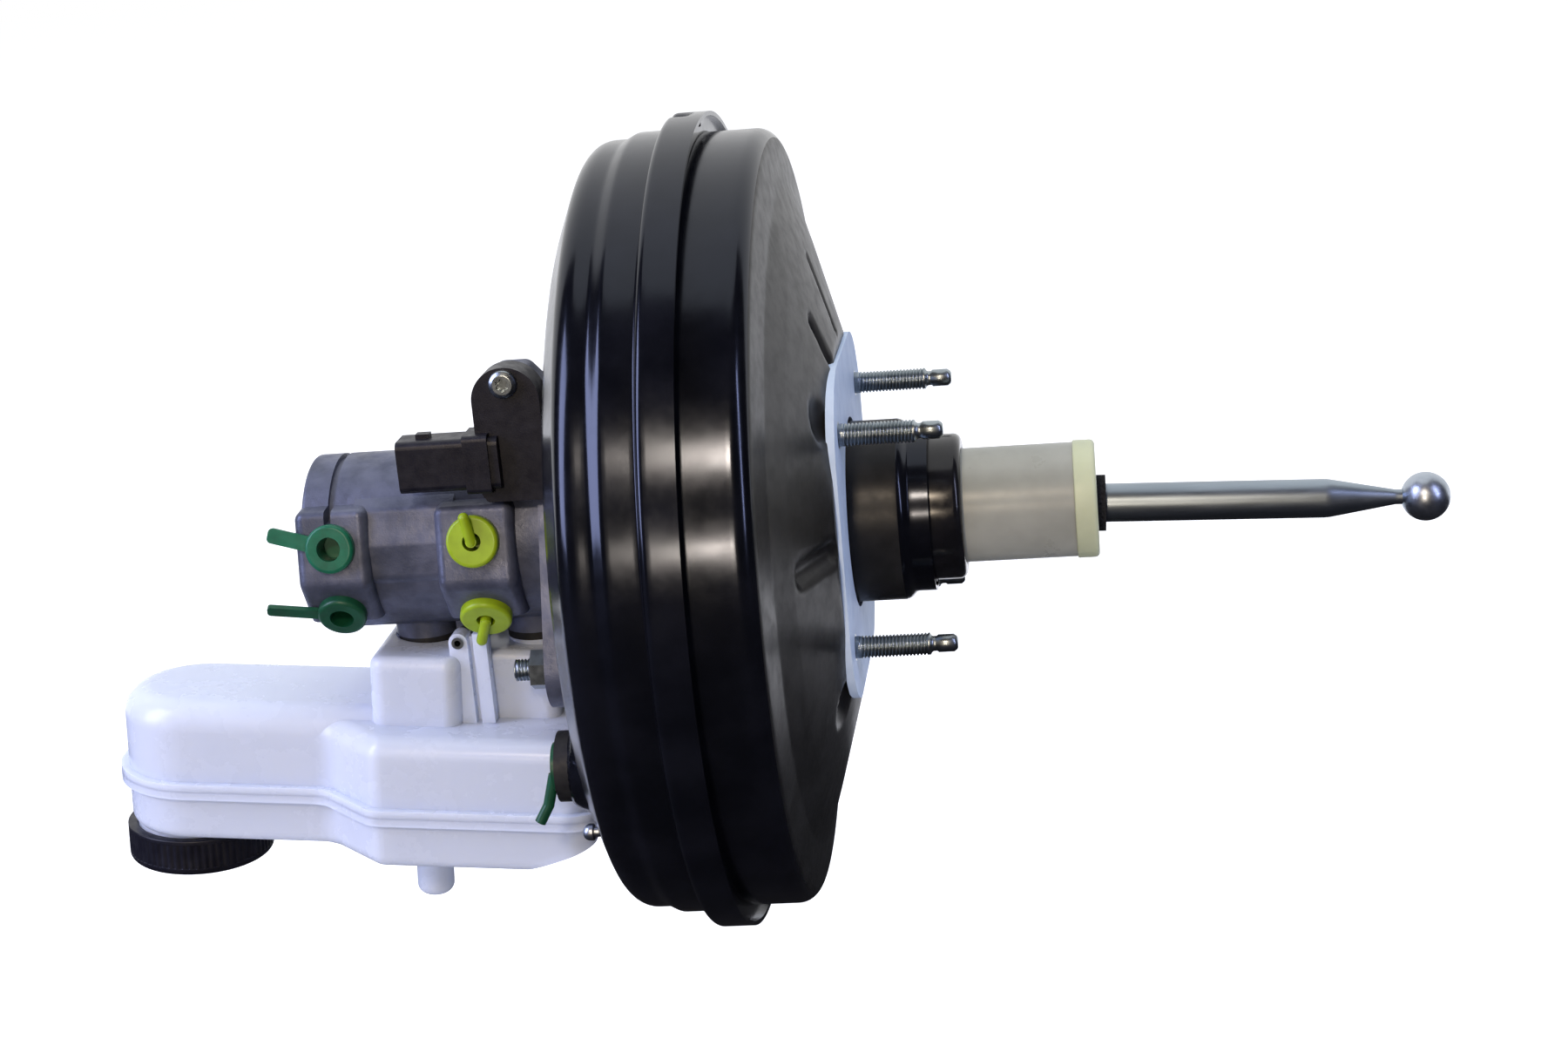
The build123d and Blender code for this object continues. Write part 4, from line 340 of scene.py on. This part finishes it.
def lug_distance(y, z, lug):
    """Distance to the outline of a round middle joined to one round lug."""
    length2 = lug[0] ** 2 + lug[1] ** 2
    across = abs((y * lug[1] - z * lug[0]) / length2)
    along = (y * lug[0] + z * lug[1]) / length2
    fall = PAD_RADIUS - LUG_RADIUS
    slope = sqrt(length2 - fall * fall)
    kappa = slope * along - fall * across
    reach = slope * across + fall * along
    square = across * across + along * along
    if kappa < 0:
        return sqrt(length2 * square) - PAD_RADIUS
    if kappa > slope:
        return sqrt(length2 * (square + 1 - 2 * along)) - LUG_RADIUS
    return reach - PAD_RADIUS


NOTCH_ANGLE, NOTCH_FROM, NOTCH_TO, NOTCH_HALF, NOTCH_DEPTH = 92.0, -57.0, -49.3, 5.0, 2.4
NOTCH_LOW, NOTCH_BOTTOM = 144.0, 143.2
FACE_BACK_X = -82.0


def drawn_out(x, level, gap):
    """Move x to a raised level inside an outline; gap is the distance outside the outline."""
    return x + (level - x) * smooth(0.5 - (gap + 1.2) / 5.0) if gap < 4 else x


def front_height(x, y, z):
    """The front face with its pad, its boss for the vacuum port and the notch in the rim's corner."""
    radius = hypot(y, z)
    if x > NOTCH_FROM and radius > NOTCH_LOW:
        aside = radius * radians((degrees(atan2(z, -y)) - NOTCH_ANGLE + 180) % 360 - 180)
        share = smooth((NOTCH_HALF + 1 - abs(aside)) / 2) * smooth((NOTCH_TO + 1.5 - x) / 1.5)
        sunk = max(radius - NOTCH_DEPTH * share, NOTCH_BOTTOM) / radius
        return (x, y * sunk, z * sunk)
    if x > FACE_BACK_X:
        return (x, y, z)
    x = drawn_out(x, PAD_X, min(lug_distance(y, z, lug) for lug in PAD_LUGS))
    x = drawn_out(x, VACUUM_X, hypot(y - VACUUM_Y, z - VACUUM_Z) - VACUUM_RADIUS)
    return (x, y, z)


def grid_shell(name, profile, height, look, segments):
    """A pressed shell: a turned sheet whose face is raised or sunk."""
    points = []
    for x, radius in profile:
        for index in range(segments):
            angle = tau * index / segments
            y, z = -radius * cos(angle), radius * sin(angle)
            points.append(height(x, y, z))
    return make_object(name, points, joined_rows(len(profile), segments), look, SHELL_SHARP)


def thicken(made, inward):
    """Give a sheet its thickness on the side away from its normals."""
    work = bmesh.new()
    work.from_mesh(made.data)
    work.normal_update()
    outer = list(work.verts)
    border = [edge for edge in work.edges if len(edge.link_faces) == 1]
    mates = {}
    for vert in outer:
        mates[vert] = work.verts.new(vert.co - vert.normal * SHEET * MM * inward)
    for face in list(work.faces):
        work.faces.new([mates[vert] for vert in reversed(face.verts)])
    for edge in border:
        a, b = edge.verts
        work.faces.new((a, b, mates[b], mates[a]))
    bmesh.ops.recalc_face_normals(work, faces=work.faces)
    for face in work.faces:
        face.smooth = True
    work.to_mesh(made.data)
    work.free()
    made.data.set_sharp_from_angle(angle=radians(SHELL_SHARP))


front = grid_shell("shell_front", refine(FRONT_PROFILE, 1.6), front_height, "paint", 360)
thicken(front, -1)
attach(front, "housing")
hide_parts("front_shell")

# Pressings of the rear cone: where each starts and ends as (radius, angle), its tool's radius and its depth
PRESSINGS = []
for turn in (0, 180):
    PRESSINGS += [
        ((68, 90 + turn), (94, 90 + turn), 3.0, 1.4),
        ((68, 4 + turn), (97, 4 + turn), 6.5, 3.0),
        ((68, 67 + turn), (84, 67 + turn), 5.0, 2.2),
        ((76, 40 + turn), (76.2, 40 + turn), 14.0, 3.2),
        ((76, turn - 46), (76.2, turn - 46), 14.0, 3.2),
    ]


def on_circle(radius, angle):
    """The (y, z) point at a radius and an angle, from the camera's side upward."""
    return Vector((-radius * cos(radians(angle)), radius * sin(radians(angle))))


PRESSED = [(on_circle(*start), on_circle(*end), tool, depth) for start, end, tool, depth in PRESSINGS]
CONE_INNER, CONE_OUTER, CONE_FRONT = 62, 110, -21
CONE_SINE, CONE_COSINE = 0.28, 0.96


def rear_height(x, y, z):
    """The rear cone with its pressed grooves and dimples."""
    radius = hypot(y, z)
    if radius < CONE_INNER or radius > CONE_OUTER or x < CONE_FRONT:
        return (x, y, z)
    here = Vector((y, z))
    sink = 0.0
    for start, end, tool, depth in PRESSED:
        line = end - start
        along = min(max((here - start).dot(line) / line.length_squared, 0), 1)
        gap = (here - start - line * along).length
        if gap < tool:
            sink = max(sink, sqrt(tool * tool - gap * gap) - (tool - depth))
    inward = 1 - sink * CONE_SINE / radius
    return (x - sink * CONE_COSINE, y * inward, z * inward)


rear = grid_shell("shell_rear", refine(REAR_PROFILE, 1.5), rear_height, "paint_satin", 360)
thicken(rear, 1)
rear.data.materials.append(MATERIALS["paint"])
GLOSS_INNER, GLOSS_FRONT = 33, -20.6
for face in rear.data.polygons:
    centre = face.center
    radius = hypot(centre.y, centre.z) / MM
    if radius < GLOSS_INNER or centre.x / MM < GLOSS_FRONT:
        face.material_index = 1
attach(rear, "housing")
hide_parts("rear_shell")


# Lances: tabs pressed inward from the rim behind the rear shell's edge

LANCE_COUNT, LANCE_START, LANCE_HALF = 8, 92.0, 5.0
LANCE_SECTION = [(REAR_FLANGE, 147.2), (REAR_FLANGE + 2.4, 147.2), (REAR_FLANGE + 2.2, 144.4),
                 (REAR_FLANGE + 0.4, 143.4)]


def lance_tabs():
    """Points and faces of the tabs, each a short bent bar along the rim."""
    points, faces = [], []
    for count in range(LANCE_COUNT):
        base = len(points)
        middle = LANCE_START + 360 / LANCE_COUNT * count
        for step in range(7):
            angle = middle + degrees((step - 3) / 3 * LANCE_HALF / RIM_RADIUS)
            for x, radius in LANCE_SECTION:
                points.append((x, *on_circle(radius, angle)))
        for step in range(6):
            for side in range(4):
                nxt = (side + 1) % 4
                low, high = base + step * 4, base + step * 4 + 4
                faces.append((low + side, low + nxt, high + nxt, high + side))
        faces.append(tuple(base + side for side in range(4)))
        faces.append(tuple(base + 24 + side for side in reversed(range(4))))
    return points, faces


lances = outward(make_object("rim_lances", *lance_tabs(), "paint", 30))
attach(lances, "housing")


# Studs with real threads

def thread_rows(start, end, radius, pitch, depth, segments, rows_per_pitch=8):
    """Rows of (x, radius at each angle) for a right-hand thread."""
    rows = []
    count = max(2, int(round((end - start) / pitch * rows_per_pitch)))
    for row in range(count + 1):
        x = start + (end - start) * row / count
        fade = min(1.0, (x - start) / pitch, (end - x) / pitch)
        ring = []
        for index in range(segments):
            phase = ((x - start) / pitch + index / segments) % 1.0
            wave = abs(2 * phase - 1)
            cut = depth * (1 - smooth(wave * 1.25)) * max(fade, 0.0)
            ring.append(radius - cut)
        rows.append((x, ring))
    return rows


def stud_rows(head, shank, thread, tip, segments):
    """A stud along X: head, plain neck, thread and guide tip."""
    rows = []
    for x, radius in head + shank:
        rows.append((x, [radius] * segments))
    rows += thread_rows(*thread, segments)
    for x, radius in tip:
        rows.append((x, [radius] * segments))
    return rows


def rows_mesh(name, rows, places, look, body, replaces, segments):
    """One object with the same turned rows at each place, closed at both ends."""
    points, faces = [], []
    for y0, z0 in places:
        base = len(points)
        for x, ring in rows:
            for index, radius in enumerate(ring):
                angle = tau * index / segments
                points.append((x, y0 + radius * cos(angle), z0 + radius * sin(angle)))
        faces += joined_rows(len(rows), segments, base=base)
        faces.append([base + index for index in range(segments)])
        last = base + (len(rows) - 1) * segments
        faces.append([last + index for index in reversed(range(segments))])
    made = outward(make_object(name, points, faces, look, 40))
    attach(made, body)
    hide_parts(replaces)
    return made


STUD_SEGMENTS = 40
firewall_rows = stud_rows(
    [(-9.6, 7.2), (-9.2, 7.5), (-6.6, 7.5)], [(-6.6, 4.8), (0, 4.8), (0, 4.0), (1.5, 4.0)],
    (1.5, 26.5, 4.0, 1.25, 0.62),
    [(27.0, 3.1), (27.6, 2.7), (28.8, 2.7), (29.4, 3.2), (34.9, 3.2), (36.0, 2.4), (36.3, 1.8)],
    STUD_SEGMENTS)
FIREWALL_PLACES = [(y, z) for y in (-40, 40) for z in (-39, 39)]
rows_mesh("studs_firewall", firewall_rows, FIREWALL_PLACES, "zinc", "housing", "firewall_studs",
          STUD_SEGMENTS)
flange_rows = stud_rows(
    [(-95.4, 7.2), (-95.8, 7.5), (-98.4, 7.5)], [(-98.4, 4.0), (-112, 4.0)],
    (-112, -124.0, 4.0, -1.25, 0.62), [(-124.0, 3.6), (-124.5, 2.8)], STUD_SEGMENTS)
rows_mesh("studs_flange", flange_rows, PAD_LUGS, "zinc", "housing", "flange_studs", STUD_SEGMENTS)


# Turned pieces seen close up

collar_profile = rounded(
    [(20.7, 24), (20.7, 27.2), (28.5, 27.2), (28.5, 26.5), (40, 26.5), (40, 20.88), (20.7, 20.88),
     (20.7, 24)],
    [0, 0, 0, 3, 1.5, 0, 0], 8)
lathe("collar_ring", collar_profile, "collar", "housing", "neck_collar", 128)
vent_profile = rounded(
    [(80, 18), (80, 21.4), (88, 21.4), (88, 13.4), (86, 13.4), (86, 16), (80, 16), (80, 18)],
    [0.5, 1.8, 0.6, 0, 0, 0, 0], 8)
lathe("vent_ring", vent_profile, "cream", "power_piston", "vent_cap", 128)

ROD_PLACE = Matrix.Translation((35, 0, 0)) @ Matrix.Rotation(radians(2.1), 4, "Y")
BALL_FROM_X = 0.1967


def ball_arc(centre, radius, start, end, steps):
    """Points of an arc of (x, radius) between two angles from the -X side, in degrees."""
    arc = []
    for index in range(steps + 1):
        angle = radians(start + (end - start) * index / steps)
        arc.append((centre - radius * cos(angle), radius * sin(angle)))
    return arc


rod_profile = ball_arc(0, 5.0, 0.5, 140, 18)
rod_profile += [(6.0, 3.2)]
rod_profile += rounded([(6.4, 3.2), (8, 4.2), (33, 4.2), (40, 7.0), (135, 7.0), (159, 2.7), (161.4, 2.7)],
                       [0.5, 0, 3, 16, 6], 10)
rod_profile += ball_arc(169.7, 8.8, 18, 179.5, 30)
rod_piece = lathe("pedal_rod_turned", rod_profile, "rod", "pedal_rod", "input_rod", 96, closed=False,
                  place=ROD_PLACE)
rod_piece.data.materials.append(MATERIALS["ball"])
for face in rod_piece.data.polygons:
    if face.center.x > BALL_FROM_X:
        face.material_index = 1


# Filler cap with grip ribs, drawn in the reservoir's own tilted frame

RESERVOIR_PLACE = Matrix.Translation((-164, 0, -38)) @ Matrix.Rotation(radians(4.5), 4, "Y")
UPRIGHT = Matrix(((0, 1, 0, 0), (0, 0, 1, 0), (1, 0, 0, 0), (0, 0, 0, 1)))
CAP_PLACE = RESERVOIR_PLACE @ Matrix.Translation((-94.5, 0, 0)) @ UPRIGHT
cap_profile = rounded(
    [(-88.3, 0.01), (-88.3, 23.8), (-77, 23.8), (-77, 27.5), (-78.6, 27.5), (-78.8, 27.5), (-88.2, 27.5),
     (-88.4, 27.5), (-91.3, 27.4), (-91.3, 22), (-90.7, 21.4), (-90.7, 0.01)],
    [0.6, 0.3, 0.5, 0, 0, 0, 0, 2.4, 0.3, 0.3], 6)
lathe("filler_cap_ribbed", cap_profile, "plastic", "cap", "filler_cap", 384, place=CAP_PLACE,
      ribs=(-88.3, -78.7, 27, 64, 0.4))


# Springs and the diaphragm, each a copy of its CAD mesh with mesh data of its own

def own_copy(name, node):
    """A copy of a CAD node's mesh that stands for the node, which is hidden."""
    made = bpy.data.objects.new(name, nodes[node].data.copy())
    bpy.context.scene.collection.objects.link(made)
    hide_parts(node)
    return made


def shortening(name, node, body):
    """A spring: a copy of its CAD node on a body, with a mesh of its own."""
    made = own_copy(name, node)
    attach(made, body)
    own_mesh(made)


shortening("return_coil", "return_spring", "housing")
shortening("primary_coil", "primary_spring", "second_piston")
shortening("secondary_coil", "secondary_spring", "housing")
shortening("rod_coil", "rod_spring", "power_piston")
sheet = own_copy("diaphragm_sheet", "diaphragm")
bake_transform(sheet)


# Camera, light and backdrop

FLOOR_Z = -0.2
FLOOR_HALF = 6


def look_matrix(place, yaw, pitch, roll):
    """The camera's place and turn, from its yaw, pitch and roll."""
    forward = Vector((-sin(yaw) * cos(pitch), cos(yaw) * cos(pitch), -sin(pitch)))
    right = Vector((cos(yaw), sin(yaw), 0))
    up = right.cross(forward)
    right_rolled = right * cos(roll) - up * sin(roll)
    up_rolled = right * sin(roll) + up * cos(roll)
    rotation = Matrix((right_rolled, up_rolled, -forward)).transposed().to_4x4()
    return Matrix.Translation(place) @ rotation


camera_data = bpy.data.cameras.new("camera")
camera_data.sensor_width = 36.0
camera_data.lens = 60.954
camera_data.clip_start = 0.05
camera = bpy.data.objects.new("camera", camera_data)
CAMERA_PLACE = (0.0867, -0.9327, 0.2617)
camera.matrix_world = look_matrix(CAMERA_PLACE, radians(6.93), radians(15.72), radians(5.07))
bpy.context.scene.collection.objects.link(camera)
bpy.context.scene.camera = camera


def softbox(name, place, target, size, power, color):
    """A rectangular lamp that faces a target."""
    data = bpy.data.lights.new(name, "AREA")
    data.shape = "RECTANGLE"
    data.size, data.size_y = size
    data.energy = power
    data.color = color
    lamp = bpy.data.objects.new(name, data)
    lamp.location = place
    direction = Vector(target) - Vector(place)
    lamp.rotation_euler = direction.to_track_quat("-Z", "Y").to_euler()
    bpy.context.scene.collection.objects.link(lamp)
    return lamp


BLUE = (0.62, 0.66, 1.0)
WARM = (1.0, 0.82, 0.62)
softbox("left_window", (-1.75, -0.8, 1.0), (-0.08, 0, 0.03), (0.9, 1.9), 50, BLUE)
softbox("front_high", (-0.2, -1.75, 1.12), (-0.03, 0, 0), (0.2, 0.2), 12.5, WARM)
softbox("front_low", (-0.21, -2.0, 0.27), (-0.03, 0, 0), (0.2, 0.1), 7, WARM)
softbox("right_window", (1.5, -1.0, 0.9), (-0.02, 0, 0), (0.2, 1.5), 12, BLUE)
top = softbox("top", (-0.1, 0.2, 1.7), (0, 0, 0), (1.8, 1.4), 24, (0.88, 0.92, 1.0))
top.visible_glossy = False


def painted_reflection_tent(name, centre, radius, spread, steps, lift):
    """Dark tent over the floor and round the camera's side, seen only in shiny surfaces, where it paints dark
    reflections; camera rays, diffuse light and shadows pass through it.
    """
    arc = [(0.0, FLOOR_Z + 0.004), (radius, FLOOR_Z + 0.004)]
    arc += [(radius * cos(radians(rise)), radius * sin(radians(rise))) for rise in range(10, lift + 1, 10)]
    points, faces = [], []
    for index in range(steps + 1):
        angle = radians(-90 - spread + 2 * spread * index / steps)
        for out, z in arc:
            points.append((centre[0] + out * cos(angle), centre[1] + out * sin(angle), z))
    for index in range(steps):
        for row in range(len(arc) - 1):
            low = index * len(arc) + row
            faces.append((low, low + 1, low + 1 + len(arc), low + len(arc)))
    tent_mesh = bpy.data.meshes.new(name)
    tent_mesh.from_pydata(points, [], faces)
    tent_mesh.materials.append(MATERIALS["foam"])
    tent = bpy.data.objects.new(name, tent_mesh)
    tent.visible_camera = False
    tent.visible_diffuse = False
    tent.visible_shadow = False
    tent.visible_transmission = False
    bpy.context.scene.collection.objects.link(tent)


# A dark tent seen only in shiny surfaces: painted dark reflection on the camera's side.
painted_reflection_tent("painted_dark_reflection_tent", (0, 0.25), 3.0, 105, 24, 70)


def seen_directly(tree):
    """One for rays that should find floor and world plain white. On the camera's side shiny surfaces meet the
    dark tent first, which paints dark reflections there.
    """
    path = tree.nodes.new("ShaderNodeLightPath")
    first = tree.nodes.new("ShaderNodeMath")
    first.operation = "MAXIMUM"
    tree.links.new(path.outputs["Is Camera Ray"], first.inputs[0])
    tree.links.new(path.outputs["Is Transmission Ray"], first.inputs[1])
    second = tree.nodes.new("ShaderNodeMath")
    second.operation = "MAXIMUM"
    tree.links.new(first.outputs[0], second.inputs[0])
    tree.links.new(path.outputs["Is Glossy Ray"], second.inputs[1])
    return second.outputs[0]


world = bpy.data.worlds.new("studio")
bpy.context.scene.world = world
world.use_nodes = True
tree = world.node_tree
ambient = tree.nodes["Background"]
ambient.inputs["Color"].default_value = (0.86, 0.9, 1.0, 1)
ambient.inputs["Strength"].default_value = 0.28
seen = tree.nodes.new("ShaderNodeBackground")
seen.inputs["Color"].default_value = (1, 1, 1, 1)
seen.inputs["Strength"].default_value = 1.0
mix = tree.nodes.new("ShaderNodeMixShader")
tree.links.new(seen_directly(tree), mix.inputs["Fac"])
tree.links.new(ambient.outputs[0], mix.inputs[1])
tree.links.new(seen.outputs[0], mix.inputs[2])
tree.links.new(mix.outputs[0], tree.nodes["World Output"].inputs["Surface"])

floor_mesh = bpy.data.meshes.new("floor")
corners = [(x * FLOOR_HALF, y * FLOOR_HALF, FLOOR_Z) for x, y in ((-1, -1), (1, -1), (1, 1), (-1, 1))]
floor_mesh.from_pydata(corners, [], [(0, 1, 2, 3)])
floor = bpy.data.objects.new("floor", floor_mesh)
bpy.context.scene.collection.objects.link(floor)
floor_look = bpy.data.materials.new("floor_white")
floor_look.use_nodes = True
floor_tree = floor_look.node_tree
floor_bsdf = floor_tree.nodes["Principled BSDF"]
floor_bsdf.inputs["Base Color"].default_value = (0.55, 0.55, 0.56, 1)
floor_bsdf.inputs["Roughness"].default_value = 0.9
floor_bsdf.inputs["Specular IOR Level"].default_value = 0.0
glow = floor_tree.nodes.new("ShaderNodeEmission")
glow.inputs["Color"].default_value = (1, 1, 1, 1)
glow.inputs["Strength"].default_value = 0.86
joined = floor_tree.nodes.new("ShaderNodeMixShader")
plain = floor_tree.nodes.new("ShaderNodeAddShader")
floor_tree.links.new(floor_bsdf.outputs[0], plain.inputs[0])
floor_tree.links.new(glow.outputs[0], plain.inputs[1])
floor_tree.links.new(seen_directly(floor_tree), joined.inputs["Fac"])
floor_tree.links.new(floor_bsdf.outputs[0], joined.inputs[1])
floor_tree.links.new(plain.outputs[0], joined.inputs[2])
floor_tree.links.new(joined.outputs[0], floor_tree.nodes["Material Output"].inputs["Surface"])
floor_mesh.materials.append(floor_look)

bpy.context.scene.view_settings.view_transform = "Standard"
